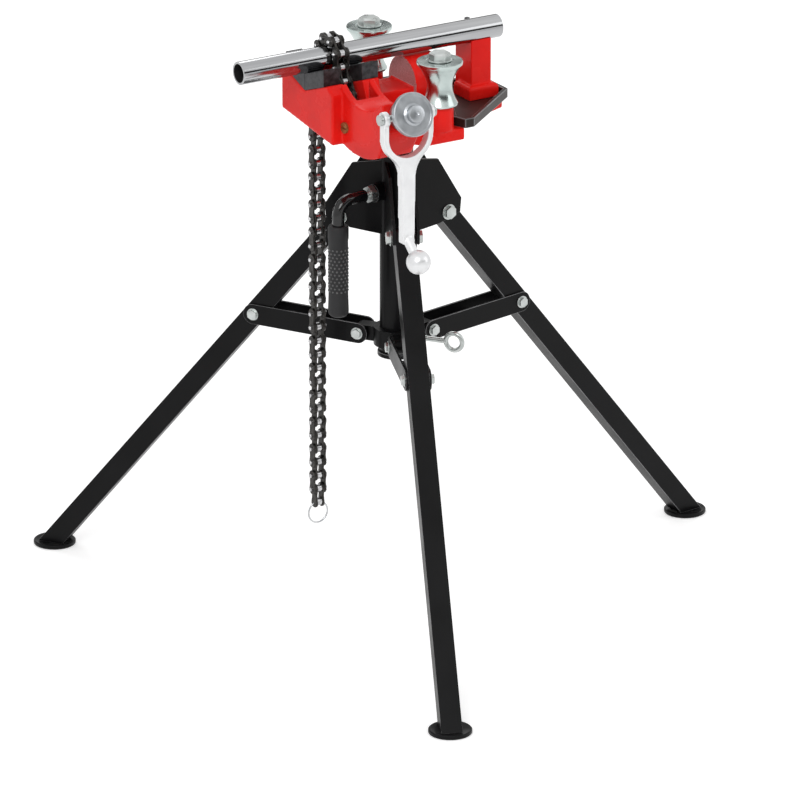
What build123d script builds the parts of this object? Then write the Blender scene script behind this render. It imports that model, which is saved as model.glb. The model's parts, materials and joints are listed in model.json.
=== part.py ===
"""Tripod chain pipe vise: folding stand, cast head, chain, tension nut and a sample pipe.

Millimetres.  Z is up and the feet stand on z = 0.  X runs along the pipe that is
clamped, and Y across it.  The stand and the head are laid out about the column's
axis and are moved at export, so that the origin is under the middle of the three feet.
"""
from build123d import *
from math import acos, atan2, cos, degrees, hypot, radians, sin, tan
import os

# ---------------------------------------------------------------- clearances
RUN = 0.05            # radial clearance of a pin or shaft that turns in its hole
GAP = 0.4             # clearance beside a part that moves
SEAT = 0.3            # clearance where curved faces rest on each other

# ---------------------------------------------------------------- stand
LEG_TURN = 6.5                            # the right leg's direction, degrees from X
LEG_ANGLES = {"right": LEG_TURN, "left": LEG_TURN + 120, "front": LEG_TURN + 240}
LEG_SIDE = 30.0                           # square leg tube
LEG_WALL = 2.5
HIP_R = 80.0                              # leg pivot, from the column's axis
HIP_Z = 572.0
FOOT_R = 543.0                            # foot centre, from the column's axis
FOOT_PAD_D = 62.0
FOOT_PAD_T = 6.0
FOOT_BEVEL = 1.5
COLUMN_D = 48.3
COLUMN_WALL = 3.6
COLUMN_DROP = 204.0                       # column's lower end, below the leg pivots
COLUMN_BOTTOM = HIP_Z - COLUMN_DROP
STOP_D = COLUMN_D + 6.7                   # stop ring at the column's foot
STOP_H = 7.0
PLATE_T = 4.0                             # plates that hold a leg's head
PLATE_TOP_R = 61.0
PLATE_OUT_R = HIP_R + 23.0
PLATE_RISE = 96.0                         # plates' top, above the leg pivots
PLATE_TOP_Z = HIP_Z + PLATE_RISE
PLATE_TOP_DROP = 12.0                     # its top edge's slope
PLATE_NOSE_Z = HIP_Z + 17.0
PLATE_LOW_Z = HIP_Z - 19.0
HIP_BOLT_D = 10.0
HEAD_AF = 17.0                            # across the flats of the M10 heads
HEAD_H = 6.5

# ---------------------------------------------------------------- struts and collar
STRUT_REACH = 215.0                       # leg pivot to strut bolt, along the leg
COLLAR_RISE = 30.0                        # collar bolts above the column's end, legs open
COLLAR_Z = COLUMN_BOTTOM + COLLAR_RISE
COLLAR_BOLT_R = 54.0
COLLAR_D = 66.0
COLLAR_H = 26.0
LUG_W = 22.0
LUG_H = 22.0
STRUT_T = 3.0
STRUT_H = 30.0
WEB_CUT = 60.0                            # length without a web beside the leg
LUG_CUT = 18.0                            # the same, beyond the collar's lug
SPACER_D = 16.0                           # spacers beside the lug
STRUT_BOLT_D = 8.0
STRUT_HEAD_AF = 13.0
STRUT_HEAD_H = 5.3
EYE_ANGLE = LEG_TURN - 60.0
EYE_SHANK_D = 8.0
EYE_RING_R = 89.0                         # ring centre, from the column's axis
EYE_RING_D = 32.0
EYE_WIRE_D = 7.0

# ---------------------------------------------------------------- clamp lever
LEVER_ANGLE = LEG_TURN + 180.0
LEVER_RISE = 48.0                         # clamp screw, above the leg pivots
LEVER_Z = HIP_Z + LEVER_RISE
LEVER_OUT = 105.0                         # grip's line, from the column's axis
LEVER_TUBE_D = 17.5
LEVER_BEND_R = 22.0
GRIP_D = 30.0
GRIP_L = 137.0
GRIP_TOP = 35.0                           # grip's upper end, below the screw's axis
CLAMP_SCREW_D = 12.0
CLAMP_BOSS_D = 26.0
CLAMP_BOSS_R = 42.0                       # boss face, from the column's axis
CLAMP_NUT_AF = 22.0
CLAMP_NUT_H = 10.0
CLAMP_OUT = 16.0                          # screw's length beyond the boss
GRIP_BORE_L = 20.0                        # tube's length inside the grip

# ---------------------------------------------------------------- pipe, jaws and head
NECK_RISE = 28.0                          # head's seat, above the leg plates
NECK_Z0 = PLATE_TOP_Z + NECK_RISE
COLUMN_TOP = NECK_Z0 - SEAT               # the neck rests on the column
NECK_H = 20.0
BED_Z0 = NECK_Z0 + NECK_H
BED_T = 17.0
BED_Z1 = BED_Z0 + BED_T
CHEEK_BOTTOM = BED_Z1                     # the cheeks start level with the bed's top
PIPE_D = 33.7
PIPE_WALL = 3.4
PIPE_RISE = 102.0                         # pipe's axis, above the bed
PIPE_Z = BED_Z1 + PIPE_RISE
PIPE_X0 = -260.0
PIPE_X1 = 169.0
V_SLOPE = 20.0                            # jaw slope above the horizontal
JAW_T = 25.0
JAW_Y = 52.0
JAW_SPLIT = 0.2                           # half the gap between a pair's halves
TEETH = 6                                 # on each half of a jaw
TOOTH_Y = 14.0
TOOTH_STEP = 5.5
TOOTH_H = 1.6
CHAIN_X = -107.0                          # plane of the chain
SLOT_W = 36.0
CHEEK_T = 27.0                            # casting on each side of the chain slot
CHEEK_FAR = 64.0
CHEEK_NEAR = 76.0
CHEEK_CHAMFER = 15.0                      # front cheek's upper corner, near side
REAR_SHOULDER = 54.0                      # rear cheek's upper corner, near side
FLANK_H = 27.0                            # where its sloping flank ends, above the bottom
REAR_FLANK_Z = CHEEK_BOTTOM + FLANK_H
CHEEK_RISE = 16.0                         # its bottom's rise at the far end
CHEEK_DIP = 3.0                           # and its dip at the near end
CHEEK_TOE = 24.0
SLOT_FLOOR = 18.0                         # wall under the chain slot
SLOT_NEAR = 104.0                         # chain slot's near end
SLOT_DROP = 43.0
SLOT_NEAR_Z = PIPE_Z - SLOT_DROP
ARM_DROP = 38.0
ARM_TOP_Z = PIPE_Z - ARM_DROP             # bottom of the hollow in the arm's top
ARM_TOP_Y = -112.0
ARM_ROOT = 6.0                            # arm's start inside the cheeks
ARM_NOSE_Y = -172.0
ARM_BELLY_Y = -128.0
ARM_HALF = 21.0                           # half height of its end
LEDGE_D = 5.5                             # ledges in the slot that hold a chain pin
LEDGE_H = 14.0                            # ledges' heights at their two ends
LEDGE_END_H = 10.0
POST_D = COLUMN_D - 2 * COLUMN_WALL - 2 * RUN
POST_DROP = 176.0                         # post's length below the head's seat
POST_BOTTOM = NECK_Z0 - POST_DROP
POST_IN = 6.0                             # post's length inside the bed
NECK_D = 64.0
BED_HALF = 45.0                           # half width beside the cheeks
EAR_IN = 31.0                             # bed around the rollers' bosses
EAR_OUT = 32.0
EAR_SIDE = 16.0
WAIST_X = 60.0
WAIST_Y = 60.0
TONGUE_HALF = 16.0                        # bed under the pipe rest
WELD = 5.0                                # overlap of joined forms
WEB_LOW = 38.0                            # half widths of the web before the drum
WEB_TOP = 30.0
DRUM_D = 78.0
DRUM_X0 = 10.0
DRUM_L = 48.0
DRUM_GAP = 2.15                           # drum below the pipe
DRUM_Z = PIPE_Z - PIPE_D / 2 - DRUM_D / 2 - DRUM_GAP
ROLLER_X = 13.0
ROLLER_Y = 96.0
ROLLER_RISE = 37.0                        # rollers' lower ends, above the bed
ROLLER_Z0 = BED_Z1 + ROLLER_RISE
ROLLER_H = 65.0
ROLLER_TOP_D = 66.0
ROLLER_WAIST_D = 36.0
ROLLER_LOW_D = 52.0
ROLLER_BOLT_D = 16.0
ROLLER_HEAD_AF = 27.0
ROLLER_HEAD_H = 12.0
BOSS_D = 40.0
ROLLER_RIM = 5.0
ROLLER_LIP = 4.0
ROLLER_BEVEL = 3.0
TRAY_T = 4.0
TRAY_RIM = 10.0
TRAY_RIM_T = 6.0
TRAY_X1 = 172.0
TRAY_END = 24.0                           # half width of its far end
TRAY_IN = 24.0                            # its corner beside a roller
TRAY_SIDE = 18.0                          # its reach past a roller's axis
REST_X0 = 109.0
REST_X1 = 158.0
REST_WALL_IN = 8.0                        # upright's step back from the foot's ends
REST_FOOT_W = 44.0
REST_FOOT_H = 20.0
REST_NEAR = -14.0
REST_FAR = 30.0
REST_DROP = 11.0                          # its top, below the pipe's axis
REST_TOP = PIPE_Z - REST_DROP
REST_CUT = 12.0                           # cut corner behind the stud
STUD_D = 8.0
STUD_IN = 34.0
STUD_OUT = 22.0
STUD_BOTTOM = REST_TOP - STUD_IN
STUD_TOP = REST_TOP + STUD_OUT
SCREW_HEAD_D = 16.0                       # slotted screw in the arm
SCREW_HEAD_H = 4.0
SCREW_Y = -84.0
SCREW_RISE = 24.0
SCREW_Z = CHEEK_BOTTOM + SCREW_RISE
SLOT_CUT_W = 2.4
SLOT_CUT_D = 1.5

# ---------------------------------------------------------------- tension screw and handle
SCREW_TILT = 20.0                         # screw's rise above the horizontal
DISC_Y = -218.0
DISC_DROP = 26.0                          # disc's middle, below the pipe's axis
DISC_Z = PIPE_Z - DISC_DROP
DISC_D = 63.0
DISC_T = 9.0
HUB_D = 44.0
HUB_L = 24.0
TENSION_D = 16.0
TENSION_L = 135.0
CAP_D = 26.0
CAP_H = 10.0
ARM_W = 56.0
YOKE_SIDE = 0.8                           # clearance between disc and fork
YOKE_T = 8.0
YOKE_DEPTH = 14.0
YOKE_EYE_D = 22.0
YOKE_DROP = 66.0
YOKE_LOW_Z = DISC_Z - YOKE_DROP           # bottom of the fork's window
YOKE_NARROW = 50.0                        # arc of the fork before it narrows, degrees
YOKE_PIN_D = 10.0
YOKE_PIN_IN = 6.0                         # pin's length inside the hub
YOKE_HEAD_D = 16.0
YOKE_HEAD_H = 5.0
SHANK_W = 22.0
SHANK_END_W = 18.0
BALL_NECK_D = 14.0
BALL_D = 35.0
BALL_OUT = 32.0                           # ball's centre, outward from the hinge
BALL_DROP = 213.0
BALL_Z = DISC_Z - BALL_DROP
SHANK_RISE = 20.0
SHANK_Z = BALL_Z + SHANK_RISE             # shank's lower end

# ---------------------------------------------------------------- chain
PITCH = 20.6
LINK_H = 16.0
LINK_T = 3.0
ROLL_D = 11.0
PIN_D = 6.0
PIN_L = 28.0
ROLL_W = 8.0
LINK_GAP = 0.3
WRAP_R = hypot(PIPE_D / 2 + SEAT + LINK_H / 2, PITCH / 2)    # pins' circle about the pipe
FREE_LINKS = 4                            # links in one swinging run
RUNS = 7
LAST_LINKS = 3                            # links in the last run
FIXED_DROP = 4                            # links that hang inside the head
NEAR_HEADINGS = (-112, -123, -135, -147)  # links from the pipe to the screw, degrees
FAR_HEADINGS = (-70, -62)                 # links from the pipe to the drop
RING_D = 34.0
RING_WIRE_D = 2.6
RING_EYE_D = 7.6                          # open hole in the last link


# ---------------------------------------------------------------- helpers
def rod(d, start, end):
    """Solid cylinder of diameter d between two points."""
    a = Vector(*start)
    b = Vector(*end)
    plane = Plane(origin=a, z_dir=b - a)
    return extrude(plane * Circle(d / 2), amount=(b - a).length)


def slab(points, x0, x1):
    """Plate with an outline in Y and Z, from x0 to x1."""
    face = make_face(Polyline(*points, close=True))
    return extrude(Plane.YZ.offset(x0) * face, amount=x1 - x0)


def plate(points, z0, z1):
    """Flat plate with an outline in X and Y, from z0 to z1."""
    face = make_face(Polyline(*points, close=True))
    return extrude(Plane.XY.offset(z0) * face, amount=z1 - z0)


def hexagon(af, start, end):
    """Hexagonal prism between two points."""
    a = Vector(*start)
    b = Vector(*end)
    plane = Plane(origin=a, z_dir=b - a)
    return extrude(plane * RegularPolygon(af / 2, 6, major_radius=False), amount=(b - a).length)


def cross_bolt(d, af, head_h, x, z, half):
    """Bolt along Y at (x, z) with a hexagon head and a nut outside y = +-half."""
    bolt = rod(d, (x, -half - head_h, z), (x, half + head_h, z))
    bolt += hexagon(af, (x, half, z), (x, half + head_h, z))
    bolt += hexagon(af, (x, -half - head_h, z), (x, -half, z))
    return bolt


def turned(shape, angle):
    """Shape turned about the column's axis."""
    return Rot(0, 0, angle) * shape


# ---------------------------------------------------------------- stand
LEG_LEAN = degrees(atan2(FOOT_R - HIP_R, HIP_Z - FOOT_PAD_T))    # from the vertical
LEG_L = (HIP_Z - FOOT_PAD_T) / cos(radians(LEG_LEAN))
LEG_HALF = LEG_SIDE / 2
PLATE_IN = LEG_HALF + GAP
PLATE_OUT = PLATE_IN + PLATE_T
KNEE_R = HIP_R + STRUT_REACH * sin(radians(LEG_LEAN))
KNEE_Z = HIP_Z - STRUT_REACH * cos(radians(LEG_LEAN))


def column_tube():
    tube = rod(COLUMN_D, (0, 0, COLUMN_BOTTOM), (0, 0, COLUMN_TOP))
    tube -= rod(COLUMN_D - 2 * COLUMN_WALL, (0, 0, COLUMN_BOTTOM), (0, 0, COLUMN_TOP))
    hole = rod(CLAMP_SCREW_D + 2 * RUN, (0, 0, LEVER_Z), (COLUMN_D, 0, LEVER_Z))
    return tube - turned(hole, LEVER_ANGLE)


def column_stop():
    ring = rod(STOP_D, (0, 0, COLUMN_BOTTOM), (0, 0, COLUMN_BOTTOM + STOP_H))
    return ring - rod(COLUMN_D, (0, 0, COLUMN_BOTTOM), (0, 0, COLUMN_BOTTOM + STOP_H))


def leg_bracket(angle):
    """Pair of plates welded to the column, with the leg's head between them."""
    outline = [(0, PLATE_TOP_Z), (PLATE_TOP_R, PLATE_TOP_Z - PLATE_TOP_DROP), (PLATE_OUT_R, PLATE_NOSE_Z),
               (PLATE_OUT_R - 2, HIP_Z - 4), (PLATE_TOP_R + 2, PLATE_LOW_Z + 5), (0, PLATE_LOW_Z)]
    face = make_face(Polyline(*outline, close=True))
    pair = Part()
    for y in (-PLATE_OUT, PLATE_IN):
        one = extrude(Plane.XZ.offset(-y) * face, amount=-PLATE_T)
        one -= rod(COLUMN_D, (0, 0, PLATE_LOW_Z), (0, 0, PLATE_TOP_Z))
        pair += one - rod(HIP_BOLT_D, (HIP_R, -PLATE_OUT, HIP_Z), (HIP_R, PLATE_OUT, HIP_Z))
    screw = rod(CLAMP_SCREW_D + 2 * RUN, (0, 0, LEVER_Z), (CLAMP_BOSS_R, 0, LEVER_Z))
    return turned(pair, angle) - turned(screw, LEVER_ANGLE)


def hip_bolt(angle):
    return turned(cross_bolt(HIP_BOLT_D, HEAD_AF, HEAD_H, HIP_R, HIP_Z, PLATE_OUT), angle)


def clamp_boss():
    boss = rod(CLAMP_BOSS_D, (0, 0, LEVER_Z), (CLAMP_BOSS_R, 0, LEVER_Z))
    boss -= rod(COLUMN_D, (0, 0, LEVER_Z - COLUMN_D), (0, 0, LEVER_Z + COLUMN_D))
    boss -= rod(CLAMP_SCREW_D + 2 * RUN, (0, 0, LEVER_Z), (CLAMP_BOSS_R, 0, LEVER_Z))
    boss = turned(boss, LEVER_ANGLE)
    for angle in LEG_ANGLES.values():
        boss -= leg_bracket(angle)
    return boss.solids().sort_by(SortBy.VOLUME)[-1]


def leg_frame():
    """Plane at the leg's pivot: local Z runs down the leg, local X outwards."""
    down = Vector(sin(radians(LEG_LEAN)), 0, -cos(radians(LEG_LEAN)))
    out = Vector(cos(radians(LEG_LEAN)), 0, sin(radians(LEG_LEAN)))
    return Plane(origin=(HIP_R, 0, HIP_Z), x_dir=out, z_dir=down)


def leg_tube(angle):
    """Square tube, cut level where it stands on its foot."""
    frame = leg_frame()
    bore = LEG_SIDE - 2 * LEG_WALL
    outer = extrude(frame * Rectangle(LEG_SIDE, LEG_SIDE), amount=LEG_L + LEG_SIDE)
    inner = extrude(frame * Rectangle(bore, bore), amount=LEG_L + 2 * LEG_SIDE)
    above = Pos(0, 0, FOOT_PAD_T + HIP_Z) * Box(4 * FOOT_R, 2 * LEG_SIDE, 2 * HIP_Z)
    head = rod(LEG_SIDE, (HIP_R, -LEG_HALF, HIP_Z), (HIP_R, LEG_HALF, HIP_Z))
    hole = rod(HIP_BOLT_D + 2 * RUN, (HIP_R, -LEG_SIDE, HIP_Z), (HIP_R, LEG_SIDE, HIP_Z))
    sleeve = rod(LEG_SIDE - LEG_WALL, (HIP_R, -LEG_HALF, HIP_Z), (HIP_R, LEG_HALF, HIP_Z))
    return turned((outer - inner & above) + head + sleeve - hole, angle)


def foot(angle):
    """Round pad under the leg's end."""
    pad = rod(FOOT_PAD_D, (FOOT_R, 0, 0), (FOOT_R, 0, FOOT_PAD_T))
    return turned(chamfer(pad.edges().filter_by(GeomType.CIRCLE).group_by(Axis.Z)[-1], FOOT_BEVEL), angle)


# ---------------------------------------------------------------- struts and collar
STRUT_RISE = degrees(atan2(KNEE_Z - COLLAR_Z, KNEE_R - COLLAR_BOLT_R))
STRUT_L = hypot(KNEE_R - COLLAR_BOLT_R, KNEE_Z - COLLAR_Z)
STRUT_IN = LEG_HALF + GAP
STRUT_OUT = STRUT_IN + STRUT_T


def strut(angle):
    """Channel that straddles the collar's lug and the leg, open towards the top."""
    half = STRUT_H / 2
    box = Box(STRUT_L + STRUT_H, 2 * STRUT_OUT, STRUT_H)
    box = fillet(box.edges().filter_by(Axis.Y), half - 0.5)
    box = Pos(STRUT_L / 2, 0, 0) * box
    box -= Pos(STRUT_L / 2, 0, STRUT_T) * Box(STRUT_L + 2 * STRUT_H, 2 * STRUT_IN, STRUT_H)
    open_in = LUG_H / 2 + LUG_CUT
    box -= Pos(-STRUT_H / 2, 0, 0) * Box(STRUT_H + 2 * open_in, 2 * STRUT_IN, 2 * STRUT_H)
    box -= Pos(STRUT_L + STRUT_H / 2, 0, 0) * Box(STRUT_H + 2 * WEB_CUT, 2 * STRUT_IN, 2 * STRUT_H)
    box -= rod(STRUT_BOLT_D + 2 * RUN, (0, -STRUT_OUT, 0), (0, STRUT_OUT, 0))
    box -= rod(STRUT_BOLT_D, (STRUT_L, -STRUT_OUT, 0), (STRUT_L, STRUT_OUT, 0))
    placed = Pos(COLLAR_BOLT_R, 0, COLLAR_Z) * Rot(0, -STRUT_RISE, 0) * box
    return turned(placed, angle)


def knee_studs(angle):
    """Headed studs in the strut's cheeks, one on each side of the leg."""
    pair = Part()
    for side in (-1, 1):
        stud = rod(STRUT_BOLT_D, (KNEE_R, side * STRUT_IN, KNEE_Z), (KNEE_R, side * STRUT_OUT, KNEE_Z))
        pair += stud + hexagon(STRUT_HEAD_AF, (KNEE_R, side * STRUT_OUT, KNEE_Z),
                               (KNEE_R, side * (STRUT_OUT + STRUT_HEAD_H), KNEE_Z))
    return turned(pair, angle)


def collar():
    low = COLLAR_Z - COLLAR_H / 2
    body = rod(COLLAR_D, (0, 0, low), (0, 0, low + COLLAR_H))
    for angle in LEG_ANGLES.values():
        lug = Pos(COLLAR_BOLT_R / 2, 0, COLLAR_Z) * Box(COLLAR_BOLT_R, LUG_W, LUG_H)
        lug += rod(LUG_H, (COLLAR_BOLT_R, -LUG_W / 2, COLLAR_Z), (COLLAR_BOLT_R, LUG_W / 2, COLLAR_Z))
        lug -= rod(STRUT_BOLT_D, (COLLAR_BOLT_R, -LUG_W, COLLAR_Z), (COLLAR_BOLT_R, LUG_W, COLLAR_Z))
        body += turned(lug, angle)
    body -= rod(COLUMN_D + 2 * RUN, (0, 0, low), (0, 0, low + COLLAR_H))
    screw = rod(EYE_SHANK_D + 2 * RUN, (0, 0, COLLAR_Z), (COLLAR_D, 0, COLLAR_Z))
    return body - turned(screw, EYE_ANGLE)


def collar_bolt(angle):
    """Bolt through the lug, with a spacer each side to the strut's cheeks."""
    bolt = cross_bolt(STRUT_BOLT_D, STRUT_HEAD_AF, STRUT_HEAD_H, COLLAR_BOLT_R, COLLAR_Z, STRUT_OUT + RUN)
    for side in (-1, 1):
        bolt += rod(SPACER_D, (COLLAR_BOLT_R, side * LUG_W / 2, COLLAR_Z),
                    (COLLAR_BOLT_R, side * (STRUT_IN - RUN), COLLAR_Z))
    return turned(bolt, angle)


def eye_bolt():
    shank = rod(EYE_SHANK_D, (COLUMN_D / 2 + GAP, 0, COLLAR_Z),
                (EYE_RING_R - EYE_RING_D / 2 + EYE_WIRE_D / 2 + 1, 0, COLLAR_Z))
    ring = Pos(EYE_RING_R, 0, COLLAR_Z) * Rot(90, 0, 0) * Torus((EYE_RING_D - EYE_WIRE_D) / 2, EYE_WIRE_D / 2)
    return turned(shank + ring, EYE_ANGLE)


# ---------------------------------------------------------------- clamp lever
def clamp_screw():
    start = COLUMN_D / 2 - COLUMN_WALL + GAP
    nut = hexagon(CLAMP_NUT_AF, (CLAMP_BOSS_R + GAP, 0, LEVER_Z), (CLAMP_BOSS_R + CLAMP_NUT_H, 0, LEVER_Z))
    screw = rod(CLAMP_SCREW_D, (start, 0, LEVER_Z), (CLAMP_BOSS_R + CLAMP_OUT, 0, LEVER_Z))
    return turned(nut + screw, LEVER_ANGLE)


def lever_tube():
    path = FilletPolyline((CLAMP_BOSS_R + CLAMP_OUT, 0, LEVER_Z), (LEVER_OUT, 0, LEVER_Z),
                          (LEVER_OUT, 0, LEVER_Z - GRIP_TOP - GRIP_BORE_L), radius=LEVER_BEND_R)
    start = Plane(origin=(CLAMP_BOSS_R + CLAMP_OUT, 0, LEVER_Z), z_dir=(1, 0, 0))
    return turned(sweep(start * Circle(LEVER_TUBE_D / 2), path=path), LEVER_ANGLE)


def lever_grip():
    top = LEVER_Z - GRIP_TOP
    grip = rod(GRIP_D, (LEVER_OUT, 0, top - GRIP_L), (LEVER_OUT, 0, top))
    grip = fillet(grip.edges().filter_by(GeomType.CIRCLE), 5)
    bore = rod(LEVER_TUBE_D, (LEVER_OUT, 0, top - GRIP_BORE_L), (LEVER_OUT, 0, top))
    return turned(grip - bore, LEVER_ANGLE)


# ---------------------------------------------------------------- head casting
APEX_Z = PIPE_Z - (PIPE_D / 2 + SEAT) / cos(radians(V_SLOPE))     # jaws' V
SEAT_Z = APEX_Z - JAW_T
SLOT_X0 = CHAIN_X - SLOT_W / 2
SLOT_X1 = CHAIN_X + SLOT_W / 2
FRONT_X = SLOT_X0 - CHEEK_T
REAR_X = SLOT_X1 + CHEEK_T
TAN_V = tan(radians(V_SLOPE))
DROP_Y = 40.0                             # hanging chain, on the far side
DROP_HALF = LINK_H / 2 + 4
CUT_TOP = PIPE_Z + PIPE_D                 # above all that a cut goes through
REST_MID = (REST_X0 + REST_X1) / 2


def seat_at(y):
    """Height of the V seat at y."""
    return SEAT_Z + abs(y) * TAN_V


def cheek_outline(front):
    """Outline across the pipe: sloping bottom, V seat on top, chamfered or sloping near end."""
    outline = [(CHEEK_FAR, CHEEK_BOTTOM + CHEEK_RISE), (CHEEK_FAR, seat_at(CHEEK_FAR)), (0, SEAT_Z)]
    if front:
        outline += [(-CHEEK_NEAR + CHEEK_CHAMFER, seat_at(CHEEK_NEAR - CHEEK_CHAMFER)),
                    (-CHEEK_NEAR, seat_at(CHEEK_NEAR) - CHEEK_CHAMFER)]
    else:
        outline += [(-REAR_SHOULDER, seat_at(REAR_SHOULDER)), (-CHEEK_NEAR, REAR_FLANK_Z)]
    return outline + [(-CHEEK_NEAR, CHEEK_BOTTOM - CHEEK_DIP), (-CHEEK_NEAR + CHEEK_TOE, CHEEK_BOTTOM)]


def screw_dir():
    return Vector(0, -cos(radians(SCREW_TILT)), sin(radians(SCREW_TILT)))


def on_screw(t):
    """Point on the tension screw's axis, t beyond the disc's middle."""
    return Vector(CHAIN_X, DISC_Y, DISC_Z) + screw_dir() * t


def arm():
    """Arm that carries the tension screw, hollow on top and square to the screw at its end."""
    end = on_screw(-HUB_L - DISC_T / 2 - GAP)
    up = Vector(0, sin(radians(SCREW_TILT)), cos(radians(SCREW_TILT)))
    top = end + up * ARM_HALF
    low = end - up * ARM_HALF
    root = -CHEEK_NEAR + ARM_ROOT
    nose = (ARM_NOSE_Y, CHEEK_BOTTOM + CHEEK_DIP)
    belly = (ARM_BELLY_Y, CHEEK_BOTTOM - 3 * CHEEK_DIP)
    edge = Line((root, CHEEK_BOTTOM), (root, seat_at(root)))
    edge += ThreePointArc((root, seat_at(root)), (ARM_TOP_Y, ARM_TOP_Z), (top.Y, top.Z))
    edge += Polyline((top.Y, top.Z), (low.Y, low.Z), nose)
    edge += ThreePointArc(nose, belly, (root, CHEEK_BOTTOM))
    face = make_face(edge)
    return extrude(Plane.YZ.offset(CHAIN_X - ARM_W / 2) * face, amount=ARM_W)


def chain_slot():
    """Space for the chain: over the pipe, down the far side and out to the screw."""
    floor = CHEEK_BOTTOM + SLOT_FLOOR
    drop = DROP_Y - DROP_HALF
    return slab([(CHEEK_FAR - GAP, CUT_TOP), (CHEEK_FAR - GAP, NECK_Z0), (drop, NECK_Z0), (drop, floor),
                 (-SLOT_NEAR, floor), (-SLOT_NEAR, SLOT_NEAR_Z), (-REAR_SHOULDER, CUT_TOP)], SLOT_X0, SLOT_X1)


def bed():
    """Flat bed with an ear under each roller and a tongue under the pipe rest."""
    ear_y = ROLLER_Y + EAR_SIDE
    half = [(REAR_X - WELD, BED_HALF), (ROLLER_X - EAR_IN, ear_y), (ROLLER_X + EAR_OUT, ear_y),
            (WAIST_X, WAIST_Y), (TRAY_X1 - 4, TONGUE_HALF)]
    other = [(x, -y) for x, y in reversed(half)]
    return plate(half + other, BED_Z0, BED_Z1)


def chain_ledges():
    """Ledges on the slot's walls that hold a chain pin, and the hollow for the pin."""
    y, z = WRAP[-(FIXED_DROP + 2)]
    top = z - PIN_D / 2 - SEAT
    outline = [(y - PIN_D, top - LEDGE_H), (y - PIN_D, top), (y + PIN_D, top + PIN_D / 2),
               (y + PIN_D, top - LEDGE_END_H)]
    left = slab(outline, SLOT_X0 - 1, SLOT_X0 + LEDGE_D)
    right = slab(outline, SLOT_X1 - LEDGE_D, SLOT_X1 + 1)
    return left + right, rod(PIN_D + 2 * SEAT, (SLOT_X0 - 1, y, z), (SLOT_X1 + 1, y, z))


def head_casting():
    floor = CHEEK_BOTTOM + SLOT_FLOOR
    body = slab(cheek_outline(True), FRONT_X, SLOT_X0)
    body += slab(cheek_outline(False), SLOT_X1, REAR_X)
    body += slab([(-CHEEK_NEAR, CHEEK_BOTTOM), (-CHEEK_NEAR, floor), (DROP_Y - DROP_HALF, floor),
                  (DROP_Y - DROP_HALF, CHEEK_BOTTOM)], SLOT_X0, SLOT_X1)
    body += arm()
    body -= chain_slot()
    body -= rod(TENSION_D + 2 * GAP, on_screw(-TENSION_L), on_screw(0))
    body += slab([(WEB_LOW, BED_Z0), (WEB_TOP, DRUM_Z), (-WEB_TOP, DRUM_Z), (-WEB_LOW, BED_Z0)],
                 REAR_X - WELD, DRUM_X0 + WELD)
    body += rod(DRUM_D, (DRUM_X0, 0, DRUM_Z), (DRUM_X0 + DRUM_L, 0, DRUM_Z))
    body += bed()
    ledges, hollow = chain_ledges()
    body = body + ledges - hollow
    for y in (-ROLLER_Y, ROLLER_Y):
        body += rod(BOSS_D, (ROLLER_X, y, BED_Z1), (ROLLER_X, y, ROLLER_Z0 - GAP))
        body -= rod(ROLLER_BOLT_D, (ROLLER_X, y, BED_Z0), (ROLLER_X, y, ROLLER_Z0))
    body += rod(NECK_D, (0, 0, NECK_Z0), (0, 0, BED_Z0))
    return body - rod(POST_D, (0, 0, NECK_Z0), (0, 0, BED_Z0 + POST_IN))


def jaw(x0, side):
    """Jaw plate on the V seat, with teeth along the pipe."""
    y1 = side * JAW_Y
    low = [(0, SEAT_Z), (y1, SEAT_Z + JAW_Y * TAN_V), (y1, APEX_Z + JAW_Y * TAN_V), (0, APEX_Z)]
    body = slab(low, x0, x0 + CHEEK_T)
    body -= slab([(-JAW_SPLIT, NECK_Z0), (JAW_SPLIT, NECK_Z0), (JAW_SPLIT, CUT_TOP), (-JAW_SPLIT, CUT_TOP)],
                 x0, x0 + CHEEK_T)
    for i in range(TEETH):
        y = side * (TOOTH_Y + TOOTH_STEP * i)
        z = APEX_Z + abs(y) * TAN_V
        body -= slab([(y - TOOTH_H, z + 1), (y, z - TOOTH_H), (y + TOOTH_H, z + 1)], x0, x0 + CHEEK_T)
    return body


def head_post():
    return rod(POST_D, (0, 0, POST_BOTTOM), (0, 0, BED_Z0 + POST_IN))


def tray():
    """Tool tray beside the pipe rest, with a raised rim."""
    side = ROLLER_Y + TRAY_SIDE
    back = DRUM_X0 + DRUM_L + 2
    half = [(back, BED_HALF), (ROLLER_X + TRAY_IN, ROLLER_Y - 4), (ROLLER_X + EAR_OUT, side), (WAIST_X, side),
            (TRAY_X1, TRAY_END)]
    face = make_face(Polyline(*half, *[(x, -y) for x, y in reversed(half)], close=True))
    body = extrude(Plane.XY.offset(BED_Z1) * face, amount=TRAY_T + TRAY_RIM)
    inner = offset(face, -TRAY_RIM_T, kind=Kind.INTERSECTION)
    return body - extrude(Plane.XY.offset(BED_Z1 + TRAY_T) * inner, amount=TRAY_RIM)


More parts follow.
